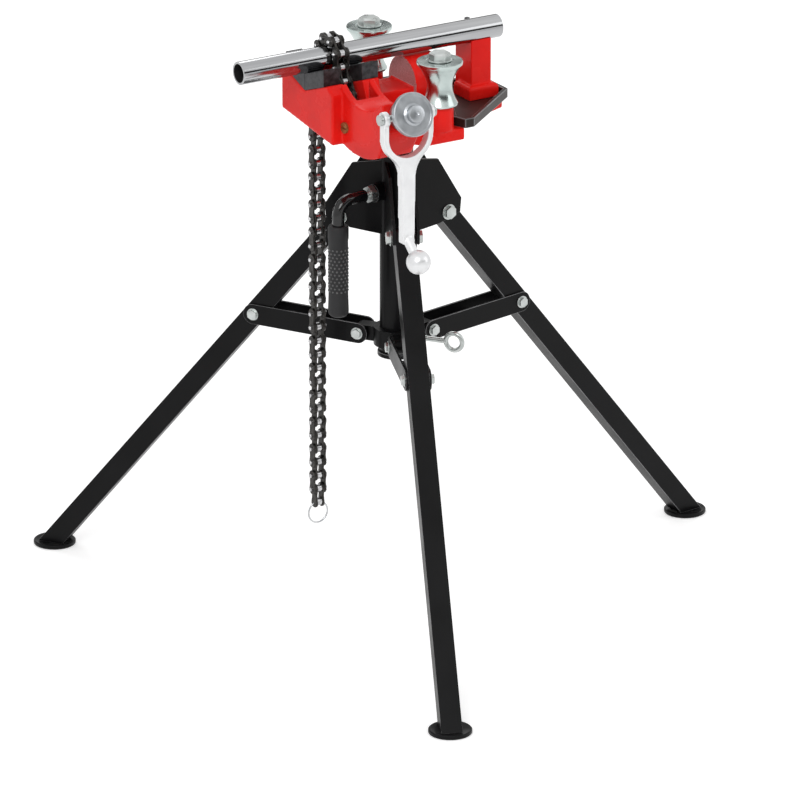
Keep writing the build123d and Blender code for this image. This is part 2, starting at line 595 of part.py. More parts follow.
def pipe_rest():
    """Upright with a curved foot and a saddle for the pipe."""
    base = BED_Z1 + TRAY_T
    foot_block = Pos(REST_MID, 0, base + REST_FOOT_H / 2) * Box(REST_X1 - REST_X0, REST_FOOT_W, REST_FOOT_H)
    foot_block = fillet(foot_block.edges().group_by(Axis.Z)[-1], REST_WALL_IN - 2)
    wall = slab([(REST_FAR, base), (REST_FAR, REST_TOP - REST_CUT), (REST_FAR - REST_CUT, REST_TOP),
                 (REST_NEAR, REST_TOP), (REST_NEAR, base)], REST_X0 + REST_WALL_IN, REST_X1 - REST_WALL_IN)
    body = foot_block + wall
    body -= rod(PIPE_D + 2 * SEAT, (REST_X0, 0, PIPE_Z), (REST_X1, 0, PIPE_Z))
    return body - rest_stud()


def rest_stud():
    stud_y = PIPE_D / 2 + STUD_D
    return rod(STUD_D, (REST_MID, stud_y, STUD_BOTTOM), (REST_MID, stud_y, STUD_TOP))


def roller(side):
    """Grooved roller: wide flange on top, waist, smaller flange below."""
    r0 = ROLLER_BOLT_D / 2 + RUN
    z1 = ROLLER_H
    waist = ROLLER_WAIST_D / 2
    top = ROLLER_TOP_D / 2
    low = ROLLER_LOW_D / 2
    lip = (low, ROLLER_LIP)
    under = (top - ROLLER_BEVEL, z1 - ROLLER_RIM - ROLLER_BEVEL)
    profile = Polyline((r0, 0), (low, 0), lip) + ThreePointArc(lip, (waist, z1 * 0.42), under)
    profile += Polyline(under, (top, z1 - ROLLER_RIM), (top, z1), (r0, z1), (r0, 0))
    solid = revolve(Plane.XZ * make_face(profile), axis=Axis.Z)
    return Pos(ROLLER_X, side * ROLLER_Y, ROLLER_Z0) * solid


def roller_bolt(side):
    y = side * ROLLER_Y
    top = ROLLER_Z0 + ROLLER_H + GAP
    bolt = rod(ROLLER_BOLT_D, (ROLLER_X, y, BED_Z0), (ROLLER_X, y, top))
    return bolt + hexagon(ROLLER_HEAD_AF, (ROLLER_X, y, top), (ROLLER_X, y, top + ROLLER_HEAD_H))


def arm_screw():
    """Slotted screw in the arm's face."""
    face = CHAIN_X - ARM_W / 2
    body = rod(SCREW_HEAD_D, (face - SCREW_HEAD_H, SCREW_Y, SCREW_Z), (face, SCREW_Y, SCREW_Z))
    slot = Box(2 * SLOT_CUT_D, SCREW_HEAD_D + 2, SLOT_CUT_W)
    return body - Pos(face - SCREW_HEAD_H, SCREW_Y, SCREW_Z) * slot


def sample_pipe():
    tube = rod(PIPE_D, (PIPE_X0, 0, PIPE_Z), (PIPE_X1, 0, PIPE_Z))
    return tube - rod(PIPE_D - 2 * PIPE_WALL, (PIPE_X0, 0, PIPE_Z), (PIPE_X1, 0, PIPE_Z))


# ---------------------------------------------------------------- tension screw, nut and handle
def tension_screw():
    """Rod through the arm that carries the nut."""
    return rod(TENSION_D, on_screw(-TENSION_L), on_screw(-DISC_T / 2))


def tension_nut():
    """Nut: hub, wide disc and round cap, turning on the screw."""
    back = -HUB_L - DISC_T / 2
    body = rod(HUB_D, on_screw(back), on_screw(0))
    body += rod(DISC_D, on_screw(-DISC_T / 2), on_screw(DISC_T / 2))
    body += rod(CAP_D, on_screw(DISC_T / 2), on_screw(DISC_T / 2 + CAP_H))
    body -= rod(TENSION_D + 2 * RUN, on_screw(back), on_screw(-DISC_T / 2 + GAP))
    for side in (-1, 1):
        body -= rod(YOKE_PIN_D, hinge_point(side * (HUB_D / 2 - YOKE_PIN_IN)), hinge_point(side * HUB_D))
    return body


def hinge_point(dx):
    """Point on the handle's hinge line, dx from the chain's plane."""
    return on_screw(-DISC_T / 2 - HUB_L / 2) + Vector(dx, 0, 0)


def yoke_pins():
    """Headed pins in the hub that the fork swings on."""
    pair = Part()
    head = YOKE_HALF + YOKE_T + RUN
    for side in (-1, 1):
        pin = rod(YOKE_PIN_D, hinge_point(side * (HUB_D / 2 - YOKE_PIN_IN)), hinge_point(side * (head + 1)))
        pair += pin + rod(YOKE_HEAD_D, hinge_point(side * head), hinge_point(side * (head + YOKE_HEAD_H)))
    return pair


HINGE = hinge_point(0)
YOKE_HALF = DISC_D / 2 + YOKE_SIDE        # inner half width of the fork
YOKE_OUT = YOKE_HALF + YOKE_T
SHANK_END = (CHAIN_X, HINGE.Y, SHANK_Z + BALL_NECK_D / 2)
BALL_AT = (CHAIN_X, HINGE.Y - BALL_OUT, BALL_Z)


def fork_face():
    """Outline of the fork and shank, in X from the chain's plane and Z."""
    turn = radians(YOKE_NARROW)
    centre = YOKE_LOW_Z + YOKE_HALF
    bend = (YOKE_OUT * cos(turn), centre - YOKE_OUT * sin(turn))
    blend_r = (bend[0] - SHANK_W / 2) / (1 - cos(turn))
    top = bend[1] - blend_r * sin(turn)
    blend_mid = (SHANK_W / 2 + blend_r * (1 - cos(turn / 2)), top + blend_r * sin(turn / 2))
    outer_mid = (YOKE_OUT * cos(turn / 2), centre - YOKE_OUT * sin(turn / 2))
    edge = Line((YOKE_OUT, HINGE.Z), (YOKE_OUT, centre)) + ThreePointArc((YOKE_OUT, centre), outer_mid, bend)
    edge += ThreePointArc(bend, blend_mid, (SHANK_W / 2, top))
    edge += Polyline((SHANK_W / 2, top), (SHANK_END_W / 2, SHANK_Z), (0, SHANK_Z), (0, HINGE.Z), (YOKE_OUT, HINGE.Z))
    half = make_face(edge)
    window = Pos(0, centre) * Circle(YOKE_HALF)
    window += Pos(0, (centre + HINGE.Z) / 2) * Rectangle(2 * YOKE_HALF, HINGE.Z - centre)
    return half + mirror(half, about=Plane.YZ) - window


def yoke_handle():
    """Fork over the hub that narrows to a flat shank with a ball at its end."""
    plane = Plane.XZ.offset(YOKE_DEPTH / 2 - HINGE.Y)
    body = Pos(CHAIN_X, 0, 0) * extrude(plane * fork_face(), amount=-YOKE_DEPTH)
    for side in (-1, 1):
        body += rod(YOKE_EYE_D, hinge_point(side * YOKE_HALF), hinge_point(side * YOKE_OUT))
    for side in (-1, 1):
        body -= rod(YOKE_PIN_D + 2 * RUN, hinge_point(side * YOKE_HALF / 2), hinge_point(side * 2 * YOKE_OUT))
    return body + rod(BALL_NECK_D, SHANK_END, BALL_AT)


def handle_ball():
    ball = Pos(*BALL_AT) * Sphere(BALL_D / 2)
    return ball - rod(BALL_NECK_D, SHANK_END, BALL_AT)


# ---------------------------------------------------------------- chain
def link_plates(a, b, half):
    """Two side plates between pins a and b, their outer faces at +-half."""
    mid = ((a[0] + b[0]) / 2, (a[1] + b[1]) / 2)
    angle = degrees(atan2(b[1] - a[1], b[0] - a[0]))
    face = SlotCenterToCenter(PITCH, LINK_H)
    plates = Part()
    for x0 in (-half, half - LINK_T):
        one = extrude(face, amount=LINK_T)
        for end in (-PITCH / 2, PITCH / 2):
            one -= Pos(end, 0, LINK_T / 2) * Cylinder(PIN_D / 2, LINK_T)
        plates += Plane(origin=(CHAIN_X + x0, mid[0], mid[1]), x_dir=(0, cos(radians(angle)), sin(radians(angle))),
                        z_dir=(1, 0, 0)) * one
    return plates


INNER_HALF = ROLL_W / 2 + LINK_T
OUTER_HALF = INNER_HALF + LINK_GAP + LINK_T


def inner_link(a, b, hole_a=PIN_D, hole_b=PIN_D):
    """Inner plates and two rollers, with a hole for the pin at each end."""
    body = link_plates(a, b, INNER_HALF)
    for point in (a, b):
        body += rod(ROLL_D, (CHAIN_X - ROLL_W / 2, *point), (CHAIN_X + ROLL_W / 2, *point))
    for point, hole in ((a, hole_a), (b, hole_b)):
        body -= rod(hole, (CHAIN_X - OUTER_HALF, *point), (CHAIN_X + OUTER_HALF, *point))
    return body


def chain_pin(point):
    return rod(PIN_D, (CHAIN_X - PIN_L / 2, *point), (CHAIN_X + PIN_L / 2, *point))


def step(point, heading):
    """Next pin, one pitch away in the direction heading (degrees from +Y towards +Z)."""
    return (point[0] + PITCH * cos(radians(heading)), point[1] + PITCH * sin(radians(heading)))


def wrap_path():
    """Pins from the tension screw, over the pipe and down to the swinging chain."""
    turn = 2 * degrees(acos((1 - (PITCH / 2 / WRAP_R) ** 2) ** 0.5))
    over = [90 + turn * (i - 2.5) for i in range(6)]
    arc = [(WRAP_R * cos(radians(a)), PIPE_Z + WRAP_R * sin(radians(a))) for a in reversed(over)]
    near = [arc[0]]
    for heading in NEAR_HEADINGS:
        near.append(step(near[-1], heading))
    far = [arc[-1]]
    for heading in FAR_HEADINGS:
        far.append(step(far[-1], heading))
    for _ in range(FIXED_DROP):
        far.append(step(far[-1], -90))
    return near[:0:-1] + arc + far[1:]


WRAP = wrap_path()


def run_points(run):
    """Pins of one swinging run, from its hinge down."""
    y, z = WRAP[-1]
    links = FREE_LINKS if run < RUNS - 1 else LAST_LINKS
    return [(y, z - PITCH * (FREE_LINKS * run + i)) for i in range(links + 1)]


def chain_run(run):
    """Alternate inner and outer links, with their pins, that swing on the pin above."""
    points = run_points(run)
    solids = []
    for i in range(len(points) - 1):
        if i % 2 == 0:
            top_hole = PIN_D + 2 * RUN if i == 0 else PIN_D
            low_hole = RING_EYE_D if i == LAST_LINKS - 1 and run == RUNS - 1 else PIN_D
            solids += inner_link(points[i], points[i + 1], top_hole, low_hole).solids()
        else:
            solids += link_plates(points[i], points[i + 1], OUTER_HALF).solids()
            solids += [chain_pin(points[i]).solid(), chain_pin(points[i + 1]).solid()]
    return Compound(solids)


def chain_ring():
    """Wire ring through the open hole of the last link."""
    y, z = run_points(RUNS - 1)[-1]
    major = (RING_D - RING_WIRE_D) / 2
    level = (major ** 2 - INNER_HALF ** 2) ** 0.5
    rise = major - level - RING_EYE_D / 2 + RING_WIRE_D / 2 * major / level + SEAT
    return Pos(CHAIN_X, y, z + rise - major) * Rot(90, 0, 0) * Torus(major, RING_WIRE_D / 2)


# ---------------------------------------------------------------- export
def feet_middle():
    """Middle of the box around the three pads, from the column's axis."""
    xs = [FOOT_R * cos(radians(a)) for a in LEG_ANGLES.values()]
    ys = [FOOT_R * sin(radians(a)) for a in LEG_ANGLES.values()]
    return ((min(xs) + max(xs)) / 2, (min(ys) + max(ys)) / 2)


def write(name, shape):
    dx, dy = feet_middle()
    solids = (Pos(-dx, -dy, 0) * shape).solids()
    export_step(Compound(solids) if len(solids) > 1 else solids[0], f"parts/{name}.step")


def wrap_nodes():
    inner = []
    outer = []
    for i in range(len(WRAP) - 1):
        even = (len(WRAP) - 2 - i) % 2 == 0
        if even:
            outer += link_plates(WRAP[i], WRAP[i + 1], OUTER_HALF).solids()
        else:
            inner += inner_link(WRAP[i], WRAP[i + 1]).solids()
    return Compound(inner), Compound(outer), Compound([chain_pin(p).solid() for p in WRAP])


def main():
    os.makedirs("parts", exist_ok=True)
    write("column_tube", column_tube())
    write("column_stop", column_stop())
    write("clamp_boss", clamp_boss())
    write("hip_bolts", Compound([hip_bolt(a).solid() for a in LEG_ANGLES.values()]))
    for name, angle in LEG_ANGLES.items():
        write(f"leg_bracket_{name}", leg_bracket(angle))
        write(f"leg_{name}", leg_tube(angle))
        write(f"foot_{name}", foot(angle))
        write(f"strut_{name}", strut(angle))
        write(f"knee_studs_{name}", knee_studs(angle))
    write("collar", collar())
    write("collar_bolts", Compound([collar_bolt(a).solid() for a in LEG_ANGLES.values()]))
    write("collar_eye_bolt", eye_bolt())
    write("clamp_screw", clamp_screw())
    write("lever_tube", lever_tube())
    write("lever_grip", lever_grip())
    write("head_casting", head_casting())
    write("head_post", head_post())
    for place, x0 in (("front", FRONT_X), ("rear", SLOT_X1)):
        for side_name, side in (("near", -1), ("far", 1)):
            write(f"jaw_{place}_{side_name}", jaw(x0, side))
    write("tray", tray())
    write("pipe_rest", pipe_rest())
    write("rest_stud", rest_stud())
    for side_name, side in (("near", -1), ("far", 1)):
        write(f"roller_{side_name}", roller(side))
    write("roller_bolts", Compound([roller_bolt(s).solid() for s in (-1, 1)]))
    write("arm_screw", arm_screw())
    write("tension_screw", tension_screw())
    write("tension_nut", tension_nut())
    write("yoke_pins", yoke_pins())
    write("yoke_handle", yoke_handle())
    write("handle_ball", handle_ball())
    write("sample_pipe", sample_pipe())
    inner, outer, pins = wrap_nodes()
    write("wrap_inner_links", inner)
    write("wrap_outer_links", outer)
    write("wrap_pins", pins)
    for run in range(RUNS):
        write(f"chain_run_{run + 1}", chain_run(run))
    write("chain_ring", chain_ring())


main()
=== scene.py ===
"""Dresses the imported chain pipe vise: finishes, rounded castings, chain, rollers, bolts and grip.

The classes' sizes are in millimetres and their angles in degrees, unless a comment says otherwise.
"""
import json
import logging
import math
from dataclasses import dataclass
from enum import Enum
from typing import Callable, Optional, Sequence

import bpy
from mathutils import Matrix, Vector


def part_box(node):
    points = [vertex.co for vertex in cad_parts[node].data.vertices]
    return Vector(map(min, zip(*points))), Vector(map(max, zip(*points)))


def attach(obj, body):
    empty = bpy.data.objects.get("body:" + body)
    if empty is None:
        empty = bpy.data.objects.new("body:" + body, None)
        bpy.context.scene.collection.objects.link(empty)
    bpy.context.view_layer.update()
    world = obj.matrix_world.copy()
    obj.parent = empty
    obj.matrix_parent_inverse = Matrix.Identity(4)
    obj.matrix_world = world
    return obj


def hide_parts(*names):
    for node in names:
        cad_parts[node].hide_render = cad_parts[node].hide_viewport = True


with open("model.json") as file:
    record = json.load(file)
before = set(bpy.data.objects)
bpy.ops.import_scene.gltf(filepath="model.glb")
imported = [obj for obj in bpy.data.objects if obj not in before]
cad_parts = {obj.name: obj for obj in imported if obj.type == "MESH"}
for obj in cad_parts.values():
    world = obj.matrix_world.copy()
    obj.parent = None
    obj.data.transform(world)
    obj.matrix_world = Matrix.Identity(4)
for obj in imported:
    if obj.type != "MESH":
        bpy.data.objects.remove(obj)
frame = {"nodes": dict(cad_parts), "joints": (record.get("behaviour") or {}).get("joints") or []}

logging.basicConfig(level=logging.INFO, format="%(message)s")
LOG = logging.getLogger("pipe_vise")
MM = 0.001
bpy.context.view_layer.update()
MERGE_GAP = 0.01 * MM                   # vertices nearer than this are one
FLAT_ANGLE = math.radians(0.4)          # CAD triangles that meet flatter than this are one face

Point = tuple[float, float, float]
Colour = tuple[float, float, float]
Ring = tuple[float, float]              # radius and height of a turned piece, in mm
Piece = bpy.types.Object
Output = bpy.types.NodeSocket
Face = bpy.types.MeshPolygon


# ------------------------------------------------------------------ shader groups
MIX_COLOURS = (6, 7)                    # a Mix node's two colour inputs
MIX_VALUES = (2, 3)                     # its two value inputs
MIX_COLOUR_OUT = 2                      # its colour output
COARSE_SHARE = 0.22                     # scale of the coarse unevenness, as a share of the fine one's
MOTTLE_SPAN = (0.3, 0.7)                # noise values that show the first and the second colour alone
COAT_ROUGHNESS = 0.06


class Kind(Enum):
    """Kinds of socket on a shader group."""

    VALUE = "NodeSocketFloat"
    VECTOR = "NodeSocketVector"
    COLOUR = "NodeSocketColor"


class Wiring:
    """Adds nodes to one shader tree and joins them."""

    def __init__(self, tree: bpy.types.NodeTree) -> None:
        """Takes the tree of a group, a material or the world."""
        self.tree = tree

    def socket(self, name: str, kind: Kind, value: Optional[float] = None, output: bool = False) -> None:
        """Adds one named socket to a shader group.

        Args:
            name: the socket's name.
            kind: what it carries.
            value: default of an input.
            output: True for an output.
        """
        made = self.tree.interface.new_socket(name=name, in_out="OUTPUT" if output else "INPUT",
                                              socket_type=kind.value)
        if value is not None:
            made.default_value = value

    def feed(self, node: bpy.types.Node, inputs: dict) -> None:
        """Gives a node's inputs their values.

        Args:
            node: the node.
            inputs: for each input's name or number, a value or the output that drives it.
        """
        for name, value in inputs.items():
            if isinstance(value, Output):
                self.tree.links.new(value, node.inputs[name])
            else:
                node.inputs[name].default_value = value

    def add(self, kind: str, inputs: Optional[dict] = None, **settings: object) -> bpy.types.Node:
        """Adds one node.

        Args:
            kind: the node's type.
            inputs: its inputs' values, as feed takes them.
            settings: its own settings by name.

        Returns:
            The node.
        """
        node = self.tree.nodes.new(kind)
        for name, value in settings.items():
            setattr(node, name, value)
        self.feed(node, inputs or {})
        return node

    def combine(self, operation: str, first: object, second: object) -> Output:
        """Adds a Math node on two values or outputs and returns its output."""
        return self.add("ShaderNodeMath", {0: first, 1: second}, operation=operation).outputs[0]


def make_tooth_group() -> bpy.types.NodeTree:
    """Fine and coarse surface unevenness of paint, casting or rubber.

    Returns:
        A group with Vector, Scale, Coarse and Fine inputs and a Height output.
    """
    group = bpy.data.node_groups.new("surface_tooth", "ShaderNodeTree")
    wiring = Wiring(group)
    wiring.socket("Vector", Kind.VECTOR)
    wiring.socket("Scale", Kind.VALUE, 400.0)
    wiring.socket("Coarse", Kind.VALUE, 0.5)
    wiring.socket("Fine", Kind.VALUE, 0.5)
    wiring.socket("Height", Kind.VALUE, output=True)
    given = wiring.add("NodeGroupInput").outputs
    slow = wiring.combine("MULTIPLY", given["Scale"], COARSE_SHARE)
    wide = wiring.add("ShaderNodeTexNoise", {"Vector": given["Vector"], "Scale": slow, "Detail": 2.0})
    close = wiring.add("ShaderNodeTexNoise", {"Vector": given["Vector"], "Scale": given["Scale"],
                                              "Detail": 4.0})
    coarse = wiring.combine("MULTIPLY", wide.outputs["Fac"], given["Coarse"])
    fine = wiring.combine("MULTIPLY", close.outputs["Fac"], given["Fine"])
    wiring.add("NodeGroupOutput", {"Height": wiring.combine("ADD", coarse, fine)})
    return group


def make_mottle_group() -> bpy.types.NodeTree:
    """Soft change between two colours and two roughnesses over the surface.

    Returns:
        A group with Color and Roughness outputs.
    """
    group = bpy.data.node_groups.new("surface_mottle", "ShaderNodeTree")
    wiring = Wiring(group)
    wiring.socket("Vector", Kind.VECTOR)
    wiring.socket("Scale", Kind.VALUE, 30.0)
    wiring.socket("Low", Kind.COLOUR)
    wiring.socket("High", Kind.COLOUR)
    wiring.socket("Smooth", Kind.VALUE, 0.3)
    wiring.socket("Dull", Kind.VALUE, 0.4)
    wiring.socket("Color", Kind.COLOUR, output=True)
    wiring.socket("Roughness", Kind.VALUE, output=True)
    given = wiring.add("NodeGroupInput").outputs
    noise = wiring.add("ShaderNodeTexNoise", {"Vector": given["Vector"], "Scale": given["Scale"],
                                              "Detail": 5.0})
    spread = wiring.add("ShaderNodeMapRange", {"Value": noise.outputs["Fac"], "From Min": MOTTLE_SPAN[0],
                                               "From Max": MOTTLE_SPAN[1]}).outputs["Result"]
    colour = wiring.add("ShaderNodeMix", {"Factor": spread, MIX_COLOURS[0]: given["Low"],
                                          MIX_COLOURS[1]: given["High"]}, data_type="RGBA")
    rough = wiring.add("ShaderNodeMix", {"Factor": spread, MIX_VALUES[0]: given["Smooth"],
                                         MIX_VALUES[1]: given["Dull"]})
    wiring.add("NodeGroupOutput", {"Color": colour.outputs[MIX_COLOUR_OUT], "Roughness": rough.outputs[0]})
    return group


TOOTH = make_tooth_group()
MOTTLE = make_mottle_group()
BUILT_MATERIALS: dict[str, bpy.types.Material] = {}      # the finishes' own, apart from what the frame loads


@dataclass(frozen=True)
class Finish:
    """One surface finish, made of a mottled colour and a fine surface tooth.

    The colour goes from low to high and the roughness with it from smooth to dull. Coarse and fine are the
    shares of the two kinds of unevenness in the bump, whose depth is in metres.
    """

    name: str
    low: Colour
    high: Colour
    smooth: float
    dull: float
    metallic: float = 0.0
    coat: float = 0.0
    mottle_scale: float = 30.0
    stretch: Point = (1.0, 1.0, 1.0)
    tooth_scale: float = 600.0
    coarse: float = 0.6
    fine: float = 0.4
    bump: float = 0.15
    bump_depth: float = 0.0004
    specular: float = 0.5

    def material(self) -> bpy.types.Material:
        """Returns the finish's material, built once."""
        if self.name not in BUILT_MATERIALS:
            BUILT_MATERIALS[self.name] = self._build()
        return BUILT_MATERIALS[self.name]

    def _build(self) -> bpy.types.Material:
        """Builds the node tree, colour and roughness from one group and bump from the other.

        Returns:
            The new material.
        """
        mat = bpy.data.materials.new(self.name)
        mat.use_nodes = True
        mat.diffuse_color = (*self.high, 1.0)
        wiring = Wiring(mat.node_tree)
        place = wiring.add("ShaderNodeTexCoord").outputs["Object"]
        turn = wiring.add("ShaderNodeMapping", {"Vector": place, "Scale": self.stretch}).outputs["Vector"]
        mottle = wiring.add("ShaderNodeGroup", {"Vector": turn, "Scale": self.mottle_scale,
                                                "Low": (*self.low, 1.0), "High": (*self.high, 1.0),
                                                "Smooth": self.smooth, "Dull": self.dull}, node_tree=MOTTLE)
        tooth = wiring.add("ShaderNodeGroup", {"Vector": turn, "Scale": self.tooth_scale,
                                               "Coarse": self.coarse, "Fine": self.fine}, node_tree=TOOTH)
        bump = wiring.add("ShaderNodeBump", {"Strength": self.bump, "Distance": self.bump_depth,
                                             "Height": tooth.outputs["Height"]})
        wiring.feed(mat.node_tree.nodes["Principled BSDF"], {
            "Base Color": mottle.outputs["Color"],
            "Roughness": mottle.outputs["Roughness"],
            "Metallic": self.metallic,
            "Coat Weight": self.coat,
            "Coat Roughness": COAT_ROUGHNESS,
            "Specular IOR Level": self.specular,
            "Normal": bump.outputs["Normal"],
        })
        return mat


BLACK_PAINT = Finish("black_powder_coat", (0.0028, 0.0028, 0.003), (0.0055, 0.0055, 0.006), 0.30, 0.44,
                     coat=0.03, mottle_scale=14.0, tooth_scale=900.0, bump=0.25, bump_depth=0.0003,
                     specular=0.11)
# Lighter finish of the black parts' bevel faces: partly worn paint, partly a painted highlight along the
# edges.
BLACK_EDGE_WEAR_AND_HIGHLIGHT = Finish("black_paint_edge", (0.09, 0.09, 0.095), (0.22, 0.22, 0.225), 0.22, 0.36, metallic=0.3,
                    mottle_scale=40.0, tooth_scale=900.0, bump=0.2, specular=0.5)
BLACK_GLOSS = Finish("black_gloss_enamel", (0.004, 0.004, 0.0045), (0.007, 0.007, 0.0075), 0.08, 0.15,
                     coat=0.35, tooth_scale=500.0, bump=0.08, specular=0.3)
RED_ENAMEL = Finish("glossy_red_enamel", (0.66, 0.008, 0.006), (0.84, 0.016, 0.011), 0.20, 0.34, coat=0.05,
                    mottle_scale=18.0, tooth_scale=160.0, coarse=0.9, fine=0.3, bump=0.35, bump_depth=0.0006,
                    specular=0.1)
# Rough speckled face of the drum; its pale pinkish tone is partly a painted sheen, as if the face caught the
# light.
RED_ROUGH_PAINTED_SHEEN = Finish("rough_cast_face", (0.20, 0.045, 0.048), (0.66, 0.34, 0.34), 0.5, 0.75, mottle_scale=620.0,
                   tooth_scale=900.0, coarse=0.4, fine=0.9, bump=0.8, bump_depth=0.0008)
ZINC = Finish("bright_zinc", (0.40, 0.465, 0.45), (0.56, 0.63, 0.61), 0.16, 0.26, metallic=1.0,
              mottle_scale=40.0, tooth_scale=900.0, bump=0.06)
BOLT_ZINC = Finish("plated_bolt", (0.40, 0.425, 0.415), (0.58, 0.605, 0.595), 0.24, 0.38, metallic=0.9,
                   mottle_scale=70.0, tooth_scale=900.0, bump=0.08)
SILVER = Finish("satin_silver_casting", (0.72, 0.725, 0.735), (0.84, 0.845, 0.85), 0.30, 0.42, metallic=0.55,
                mottle_scale=40.0, tooth_scale=500.0, bump=0.25)
DISC_SILVER = Finish("turned_disc_face", (0.36, 0.38, 0.40), (0.47, 0.49, 0.51), 0.28, 0.40, metallic=0.85,
                     mottle_scale=70.0, tooth_scale=700.0, bump=0.2)
DARK_STEEL = Finish("blackened_steel", (0.020, 0.020, 0.021), (0.075, 0.075, 0.08), 0.30, 0.5, metallic=0.7,
                    mottle_scale=160.0, tooth_scale=1200.0, bump=0.3, specular=0.3)
TRAY_PAINT = Finish("tray_dark_paint", (0.014, 0.008, 0.006), (0.026, 0.017, 0.015), 0.35, 0.5, coat=0.1,
                    mottle_scale=22.0, tooth_scale=700.0, bump=0.3, specular=0.2)
CHAIN_STEEL = Finish("oiled_chain_plate", (0.014, 0.013, 0.012), (0.07, 0.066, 0.062), 0.26, 0.46,
                     metallic=0.8, mottle_scale=150.0, tooth_scale=1100.0, bump=0.3, specular=0.35)
PIN_STEEL = Finish("worn_pin_steel", (0.36, 0.36, 0.37), (0.68, 0.68, 0.69), 0.18, 0.36, metallic=1.0,
                   mottle_scale=250.0, tooth_scale=900.0)
BRIGHT_STEEL = Finish("bright_steel", (0.44, 0.45, 0.46), (0.60, 0.61, 0.62), 0.20, 0.34, metallic=1.0)
CHROME = Finish("polished_pipe", (0.34, 0.345, 0.355), (0.50, 0.505, 0.515), 0.07, 0.15, metallic=1.0,
                mottle_scale=90.0, stretch=(0.04, 1.0, 1.0), tooth_scale=500.0, bump=0.05)
# Near-black finish inside the pipe: partly the bore's dull unpolished steel, partly painted shade inside the
# tube.
PIPE_BORE_SHADE = Finish("pipe_bore", (0.01, 0.01, 0.01), (0.03, 0.03, 0.03), 0.6, 0.8, metallic=0.4, specular=0.2)
BRASS = Finish("aged_brass", (0.22, 0.14, 0.05), (0.40, 0.27, 0.11), 0.35, 0.5, metallic=0.8,
               mottle_scale=120.0)
RUBBER = Finish("moulded_rubber", (0.016, 0.016, 0.017), (0.028, 0.028, 0.029), 0.5, 0.66, tooth_scale=1500.0,
                bump=0.4, bump_depth=0.0003, specular=0.25)
RUBBER_DOT = Finish("grip_dot", (0.075, 0.075, 0.077), (0.13, 0.13, 0.13), 0.35, 0.5, tooth_scale=1500.0,
                    bump=0.3, bump_depth=0.0003, specular=0.4)

# ------------------------------------------------------------------ modelling helpers
class Element(Enum):
    """Kinds of mesh element that can be selected: the selection mode, and the mesh's list of them."""

    POINT = ("VERT", "vertices")
    EDGE = ("EDGE", "edges")
    FACE = ("FACE", "polygons")


def clear_selection() -> None:
    """Goes to object mode with nothing selected."""
    if bpy.context.mode != "OBJECT":
        bpy.ops.object.mode_set(mode="OBJECT")
    bpy.ops.object.select_all(action="DESELECT")


def activate(piece: Piece) -> None:
    """Makes one object the only selected and active one, in object mode.

    Args:
        piece: the object.
    """
    clear_selection()
    piece.select_set(True)
    bpy.context.view_layer.objects.active = piece


def select_where(piece: Piece, element: Element, wanted: Callable[..., bool]) -> None:
    """Enters edit mode with only the wanted elements of a piece selected.

    Args:
        piece: the object.
        element: the kind of element.
        wanted: test of one vertex, edge or face.
    """
    mode, members = element.value
    activate(piece)
    bpy.ops.object.mode_set(mode="EDIT")
    bpy.ops.mesh.select_mode(type=mode)
    bpy.ops.mesh.select_all(action="DESELECT")
    bpy.ops.object.mode_set(mode="OBJECT")
    for member in getattr(piece.data, members):
        member.select = wanted(member)
    bpy.ops.object.mode_set(mode="EDIT")


def shape_with(piece: Piece, kind: str, **settings: object) -> None:
    """Adds a modifier and applies it.

    Args:
        piece: the object.
        kind: the modifier's type.
        settings: its values by name.
    """
    activate(piece)
    modifier = piece.modifiers.new(kind.lower(), kind)
    for name, value in settings.items():
        setattr(modifier, name, value)
    bpy.ops.object.modifier_apply(modifier=modifier.name)


def smooth(piece: Piece, angle: float = 32.0) -> None:
    """Shades a piece smooth wherever its faces meet at less than an angle in degrees."""
    activate(piece)
    bpy.ops.object.shade_smooth_by_angle(angle=math.radians(angle))


def clean(piece: Piece) -> None:
    """Applies a piece's place, merges its doubles and turns its faces outwards.

    Args:
        piece: the object.
    """
    activate(piece)
    bpy.ops.object.transform_apply(location=True, rotation=True, scale=True)
    bpy.ops.object.mode_set(mode="EDIT")
    bpy.ops.mesh.select_all(action="SELECT")
    bpy.ops.mesh.remove_doubles(threshold=MERGE_GAP)
    bpy.ops.mesh.normals_make_consistent(inside=False)
    bpy.ops.object.mode_set(mode="OBJECT")


def join(pieces: Sequence[Piece]) -> Piece:
    """Joins objects into the first one.

    Args:
        pieces: the objects.

    Returns:
        The first object, which then holds them all.
    """
    activate(pieces[0])
    for piece in pieces[1:]:
        piece.select_set(True)
    if len(pieces) > 1:
        bpy.ops.object.join()
    return pieces[0]


def add_object(name: str, mesh: bpy.types.Mesh) -> Piece:
    """Puts a mesh into the scene.

    Args:
        name: the object's name.
        mesh: its mesh.

    Returns:
        The new object.
    """
    made = bpy.data.objects.new(name, mesh)
    bpy.context.scene.collection.objects.link(made)
    return made


def cad_copy(node: str) -> Piece:
    """Copies a CAD node into a new object with clean flat faces.

    Args:
        node: the node's name.

    Returns:
        The new object, at the origin.
    """
    copy = add_object(f"{node}_copy", frame["nodes"][node].data.copy())
    copy.data.materials.clear()
    activate(copy)
    bpy.ops.object.mode_set(mode="EDIT")
    bpy.ops.mesh.select_all(action="SELECT")
    bpy.ops.mesh.remove_doubles(threshold=MERGE_GAP)
    bpy.ops.mesh.customdata_custom_splitnormals_clear()
    bpy.ops.mesh.dissolve_limited(angle_limit=FLAT_ANGLE)
    bpy.ops.object.mode_set(mode="OBJECT")
    return copy


def duplicate(piece: Piece, place: Matrix) -> Piece:
    """Copies a piece with a mesh of its own and moves it.

    Args:
        piece: the object to copy.
        place: matrix that is applied to the copy's mesh.

    Returns:
        The copy.
    """
    copy = add_object(piece.name, piece.data.copy())
    copy.data.transform(place)
    return copy


def discard(*pieces: Piece) -> None:
    """Removes working objects that are no longer needed."""
    for piece in pieces:
        bpy.data.objects.remove(piece)


